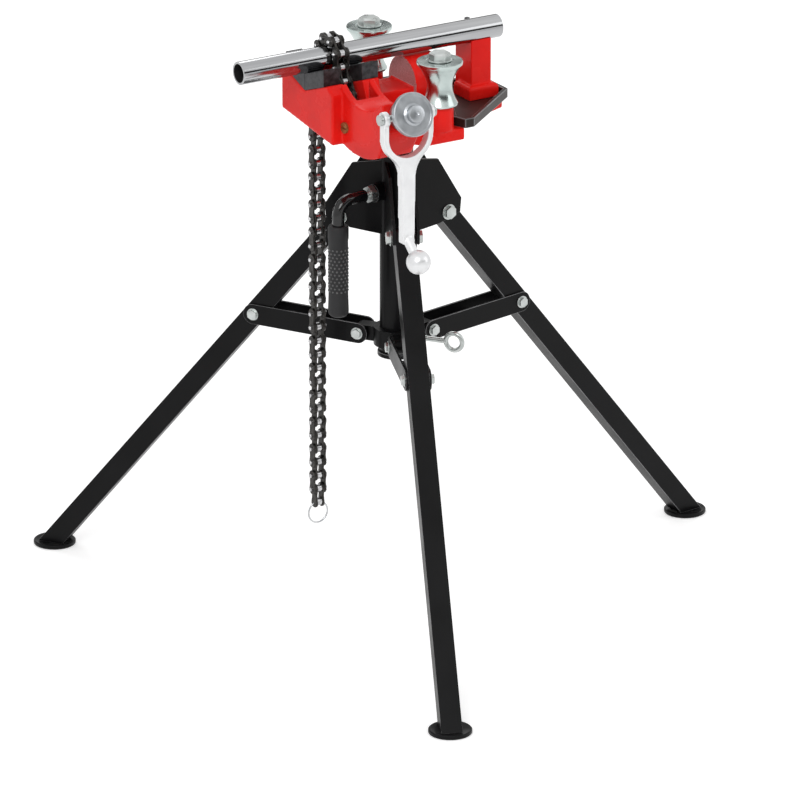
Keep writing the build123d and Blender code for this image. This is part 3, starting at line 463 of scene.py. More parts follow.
def lathe(profile: Sequence[Ring], segments: int = 48) -> Piece:
    """Turns a solid about the Z axis by extruding a disc along its profile.

    Args:
        profile: the rings in millimetres, from one end to the other.
        segments: number of sides.

    Returns:
        The new object, about the origin.
    """
    radius, height = profile[0]
    clear_selection()
    bpy.ops.mesh.primitive_circle_add(vertices=segments, radius=radius * MM, fill_type="NGON",
                                      location=(0.0, 0.0, height * MM))
    turned = bpy.context.object
    bpy.ops.object.transform_apply(location=True, rotation=True, scale=True)
    bpy.ops.object.mode_set(mode="EDIT")
    bpy.ops.mesh.select_all(action="SELECT")
    for wide, high in profile[1:]:
        bpy.ops.mesh.extrude_region_move(TRANSFORM_OT_translate={"value": (0.0, 0.0, (high - height) * MM)})
        share = wide / radius
        bpy.ops.transform.resize(value=(share, share, 1.0), center_override=(0.0, 0.0, high * MM))
        radius, height = wide, high
    bpy.ops.object.mode_set(mode="OBJECT")
    clean(turned)
    return turned


def facing(along: Sequence[float]) -> Matrix:
    """Returns the matrix that turns the Z axis to a direction."""
    return Vector(along).to_track_quat("Z", "Y").to_matrix().to_4x4()


def set_down(piece: Piece, spot: Sequence[float], along: Sequence[float] = (0.0, 0.0, 1.0)) -> None:
    """Moves a turned piece's mesh from the origin to a spot, with its Z axis along a direction."""
    piece.data.transform(Matrix.Translation(Vector(spot)) @ facing(along))


def paint(piece: Piece, *finishes: Finish) -> None:
    """Gives a piece its finishes, the first one on every face.

    Args:
        piece: the object.
        finishes: its finishes, in the order of their numbers.
    """
    piece.data.materials.clear()
    for finish in finishes:
        piece.data.materials.append(finish.material())


def paint_where(piece: Piece, number: int, wanted: Callable[[Face], bool]) -> None:
    """Gives some faces of a piece another of its finishes.

    Args:
        piece: the object.
        number: the finish's number on the piece.
        wanted: test of one face.
    """
    for face in piece.data.polygons:
        if wanted(face):
            face.material_index = number


def mount(piece: Piece, name: str, body: str, nodes: Sequence[str] = ()) -> None:
    """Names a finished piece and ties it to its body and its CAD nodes.

    Args:
        piece: the finished object.
        name: the piece's name.
        body: the CAD body that carries it.
        nodes: the CAD nodes it stands for.
    """
    piece.name = name
    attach(piece, body)
    if nodes:
        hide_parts(*nodes)
    LOG.info("%s: %d faces on %s", name, len(piece.data.polygons), body)


def joint_vector(name: str, key: str) -> Vector:
    """Returns a joint's pos_m or axis, in the row frame."""
    found = next(joint for joint in frame["joints"] if joint["name"] == name)
    return Vector(found[key])


def joint_at(name: str) -> Vector:
    """Returns a joint's place in the row frame."""
    return joint_vector(name, "pos_m")


def joint_along(name: str) -> Vector:
    """Returns a joint's axis."""
    return joint_vector(name, "axis")


def middle_of(node: str) -> Vector:
    """Returns the middle of a CAD node's box."""
    low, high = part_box(node)
    return (low + high) / 2


def foot_of(node: str) -> Vector:
    """Returns the middle of the underside of a CAD node's box."""
    middle = middle_of(node)
    return Vector((middle[0], middle[1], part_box(node)[0][2]))


def span_of(node: str) -> list[float]:
    """Returns the length, width and height of a CAD node's box in mm."""
    low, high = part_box(node)
    return [(high[axis] - low[axis]) / MM for axis in range(3)]


# ------------------------------------------------------------------ edged sheet and bar parts
@dataclass
class EdgedPart:
    """Plate, bar or turned part of the CAD with its edges broken, as pressed or machined metal has."""

    node: str
    body: str
    slot: str
    finish: Finish
    edge: float = 0.8
    segments: int = 2
    # finish of the bevel faces; on black parts it is lighter, partly worn paint and partly a painted
    # highlight
    edge_finish: Optional[Finish] = None
    edge_angle: float = 34.0

    def build(self, extras: Sequence[Piece] = ()) -> Piece:
        """Breaks the edges of a copy of the node.

        Args:
            extras: small turned pieces, such as washers, that are joined to it.

        Returns:
            The piece, which stands for its CAD node.
        """
        piece = cad_copy(self.node)
        paint(piece, self.finish, *([self.edge_finish] if self.edge_finish else []))
        if self.edge:
            shape_with(piece, "BEVEL", width=self.edge * MM, segments=self.segments, limit_method="ANGLE",
                       angle_limit=math.radians(self.edge_angle), use_clamp_overlap=True,
                       harden_normals=False, material=1 if self.edge_finish else -1)
        for extra in extras:
            paint(extra, self.finish)
        piece = join([piece, *extras])
        smooth(piece)
        shape_with(piece, "WEIGHTED_NORMAL", keep_sharp=True)
        mount(piece, f"{self.node}_edged", self.body, [self.node])
        return piece


def build_painted(node: str, body: str, edge: float) -> None:
    """Builds a part of black painted steel, its broken edges lighter: partly worn paint, partly a painted
    highlight.
    """
    EdgedPart(node, body, "black_paint", BLACK_PAINT, edge, edge_finish=BLACK_EDGE_WEAR_AND_HIGHLIGHT).build()


def build_plated(node: str, body: str, edge: float, washers: Sequence[Piece] = ()) -> None:
    """Builds zinc-plated bolts, pins or screws, with the washers under their heads."""
    EdgedPart(node, body, "zinc_bolt", BOLT_ZINC, edge).build(washers)


@dataclass(frozen=True)
class Washer:
    """Chamfered washer that lies on the outer face of a plate."""

    radius: float
    thick: float = 1.4
    chamfer: float = 0.4
    bore_r: float = 2.0

    def pair(self, middle: Vector, along: Vector, half: float) -> list[Piece]:
        """Turns the two washers under the heads of a bolt.

        Args:
            middle: the bolt's middle.
            along: the bolt's axis.
            half: distance from the middle to the faces that carry the washers, in mm.

        Returns:
            The two washers.
        """
        inner = self.radius - self.chamfer
        profile = [(inner, 0.0), (self.radius, self.chamfer), (self.radius, self.thick - self.chamfer),
                   (inner, self.thick), (self.bore_r, self.thick)]
        washers = []
        for outward in (-along, along):
            washer = lathe(profile, 28)
            set_down(washer, middle + outward * half * MM, outward)
            washers.append(washer)
        return washers


@dataclass
class CastPart:
    """Cast part of the CAD, its edges and corners rounded as sand casting leaves them."""

    node: str
    body: str
    slot: str
    finish: Finish
    grain: float = 1.6
    passes: int = 6
    keep: float = 0.45                  # share of the faces that is kept

    def build(self) -> Piece:
        """Returns the rounded casting, which stands for its CAD node."""
        piece = cad_copy(self.node)
        self.carve(piece)
        shape_with(piece, "REMESH", mode="VOXEL", voxel_size=self.grain * MM, adaptivity=0.0)
        shape_with(piece, "SMOOTH", factor=0.5, iterations=self.passes)
        shape_with(piece, "DECIMATE", ratio=self.keep)
        smooth(piece, 60.0)
        paint(piece, self.finish)
        mount(piece, f"{self.node}_cast", self.body, [self.node])
        return piece

    def carve(self, piece: Piece) -> None:
        """Shapes the copy before its edges are rounded; a plain casting needs nothing."""


# ------------------------------------------------------------------ stand
@dataclass
class Tripod:
    """Column, legs, pads, brackets, struts and sliding collar."""

    sides: tuple[str, ...] = ("front", "left", "right")
    column_parts: tuple[tuple[str, str], ...] = (("column_tube", "stand"), ("column_stop", "stand"),
                                                 ("clamp_boss", "stand"), ("collar", "collar"))
    column_edge: float = 1.0
    bracket_edge: float = 0.9
    leg_edge: float = 1.1
    strut_edge: float = 0.7
    hip_bolt_edge: float = 0.9
    strut_bolt_edge: float = 0.8
    eye_bolt_edge: float = 0.5
    bracket_half: float = 19.4
    strut_half: float = 18.4
    hip_washer: Washer = Washer(11.5)
    strut_washer: Washer = Washer(9.0)
    pad_thick: float = 6.0
    pad_rim: float = 1.2
    pad_lip: float = 2.5
    pad_sunk: float = 0.7
    pad_foot_in: float = 1.0
    pad_middle_r: float = 2.0

    def build(self) -> None:
        """Builds every part of the stand and the folding gear."""
        for node, body in self.column_parts:
            build_painted(node, body, self.column_edge)
        hips = []
        hubs = []
        for side in self.sides:
            build_painted(f"leg_bracket_{side}", "stand", self.bracket_edge)
            build_painted(f"leg_{side}", f"leg_{side}", self.leg_edge)
            build_painted(f"strut_{side}", f"strut_{side}", self.strut_edge)
            studs = f"knee_studs_{side}"
            along = joint_along(f"leg_{side}_fold")
            knee = self.strut_washer.pair(middle_of(studs), along, self.strut_half)
            build_plated(studs, f"strut_{side}", self.strut_bolt_edge, knee)
            hips += self.hip_washer.pair(joint_at(f"leg_{side}_fold"), along, self.bracket_half)
            hubs += self.strut_washer.pair(joint_at(f"strut_{side}_turn"), along, self.strut_half)
            self.pad(side)
        build_plated("hip_bolts", "stand", self.hip_bolt_edge, hips)
        build_plated("collar_bolts", "collar", self.strut_bolt_edge, hubs)
        build_plated("collar_eye_bolt", "eye_bolt", self.eye_bolt_edge)

    def pad(self, side: str) -> None:
        """Turns a foot pad with a rolled rim and a sunk middle.

        Args:
            side: the leg's name.
        """
        node = f"foot_{side}"
        wide, _, top = span_of(node)
        radius = wide / 2
        rim = self.pad_rim
        thick = min(self.pad_thick, top)
        sunk = thick - self.pad_sunk
        piece = lathe([(radius - self.pad_foot_in, 0.0), (radius, rim), (radius, thick - rim),
                       (radius - rim, thick), (radius - rim - self.pad_lip, thick),
                       (radius - self.pad_lip - 2 * rim, sunk), (self.pad_middle_r, sunk)], 64)
        set_down(piece, foot_of(node))
        smooth(piece)
        paint(piece, BLACK_PAINT)
        mount(piece, f"{node}_pad", f"leg_{side}", [node])


# ------------------------------------------------------------------ lever
@dataclass
class ClampLever:
    """Screw, glossy bent tube and dotted rubber grip."""

    screw_edge: float = 1.0
    end_r: float = 2.0
    end_round: float = 9.0
    round_steps: int = 6
    waist_in: float = 0.8
    waist_margin: float = 6.0
    collar_foot: float = 22.0
    collar_top: float = 18.0
    mouth_round: float = 3.0
    mouth_in: float = 1.5
    mouth_wall: float = 5.0
    rows: int = 13
    columns: int = 14
    row_pitch: float = 5.2
    first_row: float = 40.0
    dot_r: float = 1.5
    dot_top: float = 0.6                # share of the dot's radius
    dot_rise: float = 0.8
    dot_root: float = -0.4
    dot_foot: float = 0.1

    def build(self) -> None:
        """Builds the lever's three pieces."""
        build_plated("clamp_screw", "clamp_lever", self.screw_edge)
        EdgedPart("lever_tube", "clamp_lever", "black_paint", BLACK_GLOSS, edge=0.0).build()
        self.grip()

    def profile(self, radius: float, length: float) -> list[Ring]:
        """Draws the grip's outline, from its rounded end to the collar at its mouth.

        Args:
            radius: the grip's radius in mm.
            length: its length in mm.

        Returns:
            The outline's rings.
        """
        turns = [math.radians(90 - 90 * step / self.round_steps) for step in range(self.round_steps + 1)]
        rounded = [(radius - self.end_round * (1 - math.cos(turn)), self.end_round * (1 - math.sin(turn)))
                   for turn in turns]
        waist = radius - self.waist_in
        return [(self.end_r, 0.0), *rounded, (waist, self.first_row - self.waist_margin),
                (waist, length - self.collar_foot), (radius, length - self.collar_top),
                (radius, length - self.mouth_round), (radius - self.mouth_in, length),
                (radius - self.mouth_wall, length)]

    def dots(self, waist: float) -> list[Piece]:
        """Turns one dot and copies it all round the grip, in staggered rows.

        Args:
            waist: radius of the grip where the dots stand, in mm.

        Returns:
            The dots.
        """
        seed = lathe([(self.dot_r, self.dot_root), (self.dot_r, self.dot_foot),
                      (self.dot_r * self.dot_top, self.dot_rise)], 8)
        paint(seed, RUBBER_DOT)
        made = []
        for row in range(self.rows):
            for column in range(self.columns):
                turn = 2 * math.pi * (column + row % 2 / 2) / self.columns
                outward = Vector((math.cos(turn), math.sin(turn), 0.0))
                spot = (outward * waist + Vector((0.0, 0.0, self.first_row + row * self.row_pitch))) * MM
                made.append(duplicate(seed, Matrix.Translation(spot) @ facing(outward)))
        discard(seed)
        return made

    def grip(self) -> None:
        """Builds the turned grip with its dots."""
        wide, deep, length = span_of("lever_grip")
        radius = min(wide, deep) / 2
        piece = lathe(self.profile(radius, length), 40)
        paint(piece, RUBBER)
        piece = join([piece, *self.dots(radius - self.waist_in)])
        set_down(piece, foot_of("lever_grip"))
        smooth(piece, 40.0)
        mount(piece, "lever_grip_dotted", "clamp_lever", ["lever_grip"])


# ------------------------------------------------------------------ head
@dataclass
class HeadCasting(CastPart):
    """Red casting with a rough turned face on its drum, its pale pink tone partly a painted sheen."""

    drum_back: float = 3.0
    drum_span: float = 78.0
    drum_rise: float = 777.0
    drum_margin: float = 1.5
    face_depth: float = 2.0
    face_turn: float = -0.85            # x of a face's normal, from here down

    def build(self) -> Piece:
        """Returns the casting with the drum's end face in its own rough finish, its pale pink partly a
        painted sheen.
        """
        piece = super().build()
        piece.data.materials.append(RED_ROUGH_PAINTED_SHEEN.material())
        near, far = joint_at("roller_near_spin"), joint_at("roller_far_spin")
        drum = Vector((near[0] - self.drum_back * MM, (near[1] + far[1]) / 2, self.drum_rise * MM))
        reach = (self.drum_span / 2 - self.drum_margin) * MM

        def on_drum(face: Face) -> bool:
            """Tells whether a face lies on the drum's end."""
            away = face.center - drum
            return (face.normal[0] < self.face_turn and abs(away[0]) < self.face_depth * MM
                    and math.hypot(away[1], away[2]) < reach)

        paint_where(piece, 1, on_drum)
        return piece


@dataclass
class Rollers:
    """Two grooved bending rollers with hexagon bolts through them."""

    sides: tuple[str, ...] = ("near", "far")
    height: float = 65.0
    bore_r: float = 9.0
    foot_r: float = 26.0
    foot_edge: float = 1.0
    foot_thick: float = 3.0
    neck_in: float = 0.8
    neck_rise: float = 4.2
    waist_r: float = 18.0
    waist_rise: float = 0.42            # share of the height
    waist_power: float = 1.8            # how sharply the hollow deepens
    waist_steps: int = 12
    cone: float = 3.0
    top_r: float = 33.0
    rim: float = 5.0
    rim_in: float = 0.4
    rim_low_edge: float = 0.7
    rim_edge: float = 0.9
    dish_r: float = 20.0
    dish_deep: float = 0.6
    head_flats: float = 27.0
    head_tall: float = 10.0
    head_chamfer: float = 2.0
    head_top: float = 0.86              # share of the hexagon's corner radius, as is the next
    head_crown: float = 0.8
    washer_r: float = 17.0
    washer_thick: float = 2.0
    washer_in: float = 0.5
    washer_edge: float = 0.4
    washer_bore_r: float = 10.0
    shaft_r: float = 8.0

    def profile(self) -> list[Ring]:
        """Returns the turned outline: flared foot, hollow waist, cone under a thin flange."""
        height, top_r, dish = self.height, self.top_r, self.height - self.dish_deep
        neck_r, cone_r = self.foot_r - self.neck_in, top_r - self.cone
        middle = height * self.waist_rise
        low, under = self.neck_rise, height - self.rim - self.cone
        rings = [(self.bore_r, 0.0), (self.foot_r - self.foot_edge, 0.0), (self.foot_r, self.foot_edge),
                 (self.foot_r, self.foot_thick), (neck_r, low)]
        for step in range(1, self.waist_steps):
            high = low + (under - low) * step / self.waist_steps
            edge, span = (neck_r, middle - low) if high < middle else (cone_r, under - middle)
            share = abs(high - middle) / span
            rings.append((self.waist_r + (edge - self.waist_r) * share ** self.waist_power, high))
        return rings + [(cone_r, under), (top_r - self.rim_in, height - self.rim),
                        (top_r, height - self.rim + self.rim_low_edge), (top_r, height - self.rim_edge),
                        (top_r - self.rim_edge, height), (self.dish_r, height),
                        (self.dish_r - self.dish_deep, dish), (self.bore_r, dish)]

    def build(self) -> None:
        """Builds both rollers and the bolts through them."""
        for side in self.sides:
            piece = lathe(self.profile(), 72)
            set_down(piece, joint_at(f"roller_{side}_spin"))
            smooth(piece)
            paint(piece, ZINC)
            mount(piece, f"roller_{side}_turned", f"roller_{side}", [f"roller_{side}"])
        self.bolts()

    def bolts(self) -> None:
        """Builds chamfered hexagon heads on washers, over the rollers' shafts."""
        low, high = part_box("roller_bolts")
        corner = self.head_flats / math.sqrt(3)
        tall, thick = self.head_tall, self.washer_thick
        head = [(corner, 0.0), (corner, tall - self.head_chamfer), (corner * self.head_top, tall),
                (corner * self.head_crown, tall)]
        washer = [(self.washer_r, 0.0), (self.washer_r, thick - self.washer_edge),
                  (self.washer_r - self.washer_in, thick), (self.washer_bore_r, thick)]
        shaft = [(self.shaft_r, 0.0), (self.shaft_r, (high[2] - low[2]) / MM - tall)]
        heads = []
        for side in self.sides:
            spot = joint_at(f"roller_{side}_spin")
            for profile, sides, base in ((head, 6, high[2] - tall * MM),
                                         (washer, 36, high[2] - (tall + thick) * MM), (shaft, 24, low[2])):
                turned = lathe(profile, sides)
                set_down(turned, (spot[0], spot[1], base))
                heads.append(turned)
        piece = join(heads)
        smooth(piece, 28.0)
        paint(piece, BOLT_ZINC)
        mount(piece, "roller_bolts_hex", "head", ["roller_bolts"])


@dataclass
class Head:
    """Cast head with its jaws, tray, pipe rest and post."""

    jaw_edge: float = 0.5
    tray_edge: float = 1.2
    stud_edge: float = 1.0
    post_edge: float = 1.0
    screw_edge: float = 1.2
    arm_screw_edge: float = 0.5

    def build(self) -> None:
        """Builds the head's own parts."""
        HeadCasting("head_casting", "head", "red_enamel", RED_ENAMEL).build()
        CastPart("pipe_rest", "head", "red_enamel", RED_ENAMEL, grain=0.9, passes=5, keep=0.4).build()
        for pair in ("front", "rear"):
            for side in ("near", "far"):
                jaw = f"jaw_{pair}_{side}"
                EdgedPart(jaw, "head", "dark_steel", DARK_STEEL, self.jaw_edge, segments=1).build()
        # The tray's bevel faces take the lighter edge finish: partly worn paint, partly a painted highlight.
        EdgedPart("tray", "head", "black_paint", TRAY_PAINT, self.tray_edge, edge_finish=BLACK_EDGE_WEAR_AND_HIGHLIGHT).build()
        EdgedPart("rest_stud", "head", "dark_steel", DARK_STEEL, self.stud_edge).build()
        EdgedPart("head_post", "head", "steel", BRIGHT_STEEL, self.post_edge).build()
        EdgedPart("tension_screw", "head", "steel", BRIGHT_STEEL, self.screw_edge).build()
        EdgedPart("arm_screw", "head", "brass", BRASS, self.arm_screw_edge).build()
        Rollers().build()


# ------------------------------------------------------------------ tension nut, handle
@dataclass
class Tension:
    """Silver nut with its disc and cap, forked handle and ball."""

    bore_r: float = 8.2
    hub_r: float = 22.0
    hub_long: float = 24.0
    hub_edge: float = 1.0
    disc_r: float = 31.5
    disc_thick: float = 9.0
    disc_edge: float = 1.2
    land: float = 4.0
    step_in: float = 0.6
    step_deep: float = 0.4
    cap_r: float = 13.0
    cap_tall: float = 10.0
    cap_flare: float = 3.0
    flare_rise: float = 1.6
    shoulder_drop: float = 2.5
    crown_in: float = 0.9
    crown_drop: float = 0.8
    cap_round: float = 3.0
    dimple_r: float = 3.2
    dimple_edge: float = 0.6
    dimple_floor_r: float = 0.8
    dimple_deep: float = 1.6
    pin_edge: float = 0.8
    ball_r: float = 17.5
    ball_cut: float = 84.0
    ball_steps: int = 14
    ball_lean: Point = (0.0, -1.0, -0.2)

    def build(self) -> None:
        """Builds the nut, pins, fork and ball."""
        self.nut()
        build_plated("yoke_pins", "tension_nut", self.pin_edge)
        Fork("yoke_handle", "yoke", "cast_silver", SILVER, grain=1.0, passes=3, keep=0.5).build()
        self.ball()

    def nut(self) -> None:
        """Builds the hub, the wide disc and the round cap with a dimple, turned in one."""
        disc = self.disc_thick / 2
        top = disc + self.cap_tall
        back = -disc - self.hub_long
        sunk = disc - self.step_deep
        edge, rim = self.hub_edge, self.disc_r - self.disc_edge
        hub = [(self.bore_r, back), (self.hub_r - edge, back), (self.hub_r, back + edge),
               (self.hub_r, -disc - edge), (self.hub_r + edge, -disc)]
        plate = [(rim, -disc), (self.disc_r, -disc + self.disc_edge), (self.disc_r, disc - self.disc_edge),
                 (rim, disc), (self.disc_r - self.land, disc), (self.disc_r - self.land - self.step_in, sunk)]
        cap = [(self.cap_r + self.cap_flare, sunk), (self.cap_r, disc + self.flare_rise),
               (self.cap_r, top - self.shoulder_drop), (self.cap_r - self.crown_in, top - self.crown_drop),
               (self.cap_r - self.cap_round, top)]
        dimple = [(self.dimple_r, top), (self.dimple_r - self.dimple_edge, top - self.dimple_edge),
                  (self.dimple_floor_r, top - self.dimple_deep)]
        piece = lathe(hub + plate + cap + dimple, 72)
        set_down(piece, joint_at("tension_nut_turn"), joint_along("tension_nut_turn"))
        smooth(piece, 28.0)
        paint(piece, DISC_SILVER)
        mount(piece, "tension_nut_turned", "tension_nut", ["tension_nut"])

    def ball(self) -> None:
        """Builds the ball, with a small flat at each pole."""
        steps = self.ball_steps
        turns = [math.radians(self.ball_cut * (2 * step / steps - 1)) for step in range(steps + 1)]
        piece = lathe([(self.ball_r * math.cos(turn), self.ball_r * math.sin(turn)) for turn in turns], 40)
        set_down(piece, middle_of("handle_ball"), self.ball_lean)
        smooth(piece, 60.0)
        paint(piece, SILVER)
        mount(piece, "handle_ball_cast", "yoke", ["handle_ball"])


@dataclass
class Fork(CastPart):
    """Forged fork and shank with sunk front and back faces."""

    border: float = 3.0
    sunk: float = 1.3
    face_turn: float = 0.99             # y of a face's normal, from here up

    def carve(self, piece: Piece) -> None:
        """Sinks the large front and back faces inside their border.

        Args:
            piece: the fork's copy.
        """
        flats = [(face.area, face.index) for face in piece.data.polygons
                 if abs(face.normal[1]) > self.face_turn]
        chosen = {index for area, index in sorted(flats)[-2:]}
        select_where(piece, Element.FACE, lambda face: face.index in chosen)
        bpy.ops.mesh.inset(thickness=self.border * MM, depth=-self.sunk * MM, use_individual=True)
        bpy.ops.object.mode_set(mode="OBJECT")


# ------------------------------------------------------------------ chain
class LinkKind(Enum):
    """Inner links lie between the plates of the outer ones; the value is the outer face's place in mm."""

    INNER = 7.0
    OUTER = 10.3


def both_ends(rings: Sequence[Ring]) -> list[Ring]:
    """Returns the rings of one end, followed by the same rings at the other end."""
    return [*rings, *((wide, -high) for wide, high in reversed(rings))]


@dataclass
class Chain:
    """Roller chain: wrapped part on the head and the swinging runs."""

    pitch: float = 20.6
    plate_r: float = 8.0
    plate_sides: int = 20
    plate_thick: float = 3.0
    plate_edge: float = 0.5
    plate_edge_angle: float = 50.0
    waist: float = 0.72                 # share of the plate's width
    waist_power: float = 1.6            # how sharply it narrows
    waist_cuts: int = 5
    roll_r: float = 5.9
    roll_half: float = 3.9
    roll_edge: float = 0.4
    roll_bore_r: float = 2.0
    pin_r: float = 3.0
    pin_half: float = 14.0
    pin_end_r: float = 1.2
    pin_shoulder: float = 1.2
    pin_crown_in: float = 0.7
    pin_crown: float = 0.3
    runs: int = 7

    def __post_init__(self) -> None:
        """Models the one plate, roller and pin that every link copies."""
        self.plate = self.model_plate()
        self.roll = lathe(both_ends([(self.roll_bore_r, -self.roll_half),
                                     (self.roll_r - self.roll_edge, -self.roll_half),
                                     (self.roll_r, self.roll_edge - self.roll_half)]), 20)
        self.pin = lathe(both_ends([(self.pin_end_r, -self.pin_half),
                                    (self.pin_r - self.pin_crown_in, self.pin_crown - self.pin_half),
                                    (self.pin_r, self.pin_shoulder - self.pin_half)]), 14)
        for turned in (self.roll, self.pin):
            set_down(turned, (0.0, 0.0, 0.0), (1.0, 0.0, 0.0))
            paint(turned, CHAIN_STEEL, PIN_STEEL)
            paint_where(turned, 1, lambda face: True)

    def model_plate(self) -> Piece:
        """Models a waisted plate between pins at z = 0 and z = -pitch.

        Returns:
            The plate, its outer face at x = 0.
        """
        pitch = self.pitch * MM
        clear_selection()
        bpy.ops.mesh.primitive_circle_add(vertices=self.plate_sides, radius=self.plate_r * MM,
                                          fill_type="NGON", rotation=(0.0, math.pi / 2, 0.0))
        plate = bpy.context.object
        bpy.ops.object.transform_apply(location=True, rotation=True, scale=True)
        select_where(plate, Element.POINT, lambda point: point.co[2] < -MERGE_GAP)
        bpy.ops.transform.translate(value=(0.0, 0.0, -pitch))

        def long_side(edge: bpy.types.MeshEdge) -> bool:
            """Tells the plate's two long sides from its rounded ends."""
            first, second = (plate.data.vertices[index].co for index in edge.vertices)
            return (first - second).length > pitch / 2

        select_where(plate, Element.EDGE, long_side)
        bpy.ops.mesh.subdivide(number_cuts=self.waist_cuts)
        bpy.ops.object.mode_set(mode="OBJECT")
        side = pitch + self.plate_r * MM * math.sin(2 * math.pi / self.plate_sides)
        for number in range(1, self.waist_cuts + 1):
            cut = -side * number / (self.waist_cuts + 1)
            share = min(1.0, abs(cut + pitch / 2) / (pitch / 2))
            drawn = self.waist + (1 - self.waist) * share ** self.waist_power
            select_where(plate, Element.POINT, lambda point: abs(point.co[2] - cut) < MERGE_GAP)
            bpy.ops.transform.resize(value=(1.0, drawn, 1.0), center_override=(0.0, 0.0, cut))
        select_where(plate, Element.FACE, lambda face: True)
        bpy.ops.mesh.extrude_region_move(TRANSFORM_OT_translate={"value": (-self.plate_thick * MM, 0.0, 0.0)})
        bpy.ops.object.mode_set(mode="OBJECT")
        clean(plate)
        shape_with(plate, "BEVEL", width=self.plate_edge * MM, segments=1, limit_method="ANGLE",
                   angle_limit=math.radians(self.plate_edge_angle))
        paint(plate, CHAIN_STEEL, PIN_STEEL)
        return plate

    def link(self, start: Vector, end: Vector, kind: LinkKind) -> list[Piece]:
        """Copies two plates between two pins, and the rollers of an inner link.

        Args:
            start: first pin.
            end: second pin.
            kind: inner or outer link.

        Returns:
            The link's pieces.
        """
        run = end - start
        place = Matrix.Translation(start) @ Matrix.Rotation(math.atan2(run[1], -run[2]), 4, "X")
        made = [duplicate(self.plate, place @ Matrix.Translation((side * MM, 0, 0)))
                for side in (kind.value, self.plate_thick - kind.value)]
        if kind is LinkKind.INNER:
            made += [duplicate(self.roll, Matrix.Translation(spot)) for spot in (start, end)]
        return made

    def links(self, spots: Sequence[Vector], first: LinkKind, second: LinkKind) -> list[Piece]:
        """Copies the links between a row of pins.

        Args:
            spots: the pins' middles.
            first: kind of the first, third, fifth link.
            second: kind of the links between them.

        Returns:
            The links' pieces.
        """
        made = []
        for index, (start, end) in enumerate(zip(spots, spots[1:])):
            made += self.link(start, end, second if index % 2 else first)
        return made

    def pins(self, spots: Sequence[Vector]) -> list[Piece]:
        """Returns a pin at each spot."""
        return [duplicate(self.pin, Matrix.Translation(spot)) for spot in spots]

    def mount_links(self, parts: list[Piece], name: str, body: str, nodes: list[str]) -> None:
        """Joins links into one piece and mounts it.

        Args:
            parts: the links' pieces.
            name: the piece's name.
            body: the CAD body that carries it.
            nodes: the CAD nodes it stands for.
        """
        piece = join(parts)
        smooth(piece, 30.0)
        mount(piece, name, body, nodes)

    def wrap_spots(self) -> list[Vector]:
        """Finds the wrapped pins, from the swinging chain back to the tension screw.

        Returns:
            The pins' middles.
        """
        activate(cad_copy("wrap_pins"))
        bpy.ops.mesh.separate(type="LOOSE")
        loose = list(bpy.context.selected_objects)
        spots = []
        for pin in loose:
            corners = [point.co for point in pin.data.vertices]
            spots.append(Vector([(min(c[axis] for c in corners) + max(c[axis] for c in corners)) / 2
                                 for axis in range(3)]))
        discard(*loose)
        at = joint_at("chain_1_swing")
        order = []
        while spots:
            at = min(spots, key=lambda spot: (spot - at).length)
            spots.remove(at)
            order.append(at)
        return order

    def build(self) -> None:
        """Builds the wrapped chain, the seven runs and the ring."""
        wrapped = self.wrap_spots()
        self.mount_links(self.links(wrapped, LinkKind.OUTER, LinkKind.INNER), "wrap_links", "head",
                         ["wrap_inner_links", "wrap_outer_links"])
        self.mount_links(self.pins(wrapped), "wrap_pins_riveted", "head", ["wrap_pins"])
        for run in range(1, self.runs + 1):
            node = f"chain_run_{run}"
            top = joint_at(f"chain_{run}_swing")
            count = round((span_of(node)[2] - 2 * self.plate_r) / self.pitch)
            spots = [top - Vector((0, 0, self.pitch * MM * step)) for step in range(count + 1)]
            held = spots[1:] if run < self.runs else spots[1:-1]
            parts = self.links(spots, LinkKind.INNER, LinkKind.OUTER) + self.pins(held)
            self.mount_links(parts, f"chain_links_{run}", f"chain_{run}", [node])
        discard(self.plate, self.roll, self.pin)
        EdgedPart("chain_ring", "ring", "steel", BRIGHT_STEEL, edge=0.0).build()


# ------------------------------------------------------------------ clamped pipe
@dataclass
class SamplePipe:
    """Polished pipe with painted shade in its bore."""

    edge: float = 0.7
    bore_r: float = 14.5
    end_turn: float = 0.5               # x of a face's normal, from here up on the ends

    def build(self) -> None:
        """Builds the pipe from its CAD node and paints shade into its bore."""
        piece = EdgedPart("sample_pipe", "pipe", "chrome", CHROME, self.edge).build()
        piece.data.materials.append(PIPE_BORE_SHADE.material())
        axis = middle_of("sample_pipe")

        def in_bore(face: Face) -> bool:
            """Tells whether a face lies in the bore and doesn't look along the pipe."""
            out = math.hypot(face.center[1] - axis[1], face.center[2] - axis[2])
            return out < self.bore_r * MM and abs(face.normal[0]) < self.end_turn

        paint_where(piece, 1, in_bore)


# ------------------------------------------------------------------ camera and light
WHITE = (1.0, 1.0, 1.0, 1.0)


@dataclass(frozen=True)
class Lamp:
    """Square soft lamp that shines at the vise; its place and size are in metres, its power in watts."""

    name: str
    spot: Point
    size: float
    power: float

    def place(self, aim: Vector) -> None:
        """Adds the lamp.

        Args:
            aim: the point it shines at.
        """
        bpy.ops.object.light_add(type="AREA", location=self.spot)
        lamp = bpy.context.object
        lamp.name = self.name
        lamp.data.size = self.size
        lamp.data.energy = self.power
        lamp.rotation_euler = (aim - Vector(self.spot)).to_track_quat("-Z", "Y").to_euler()


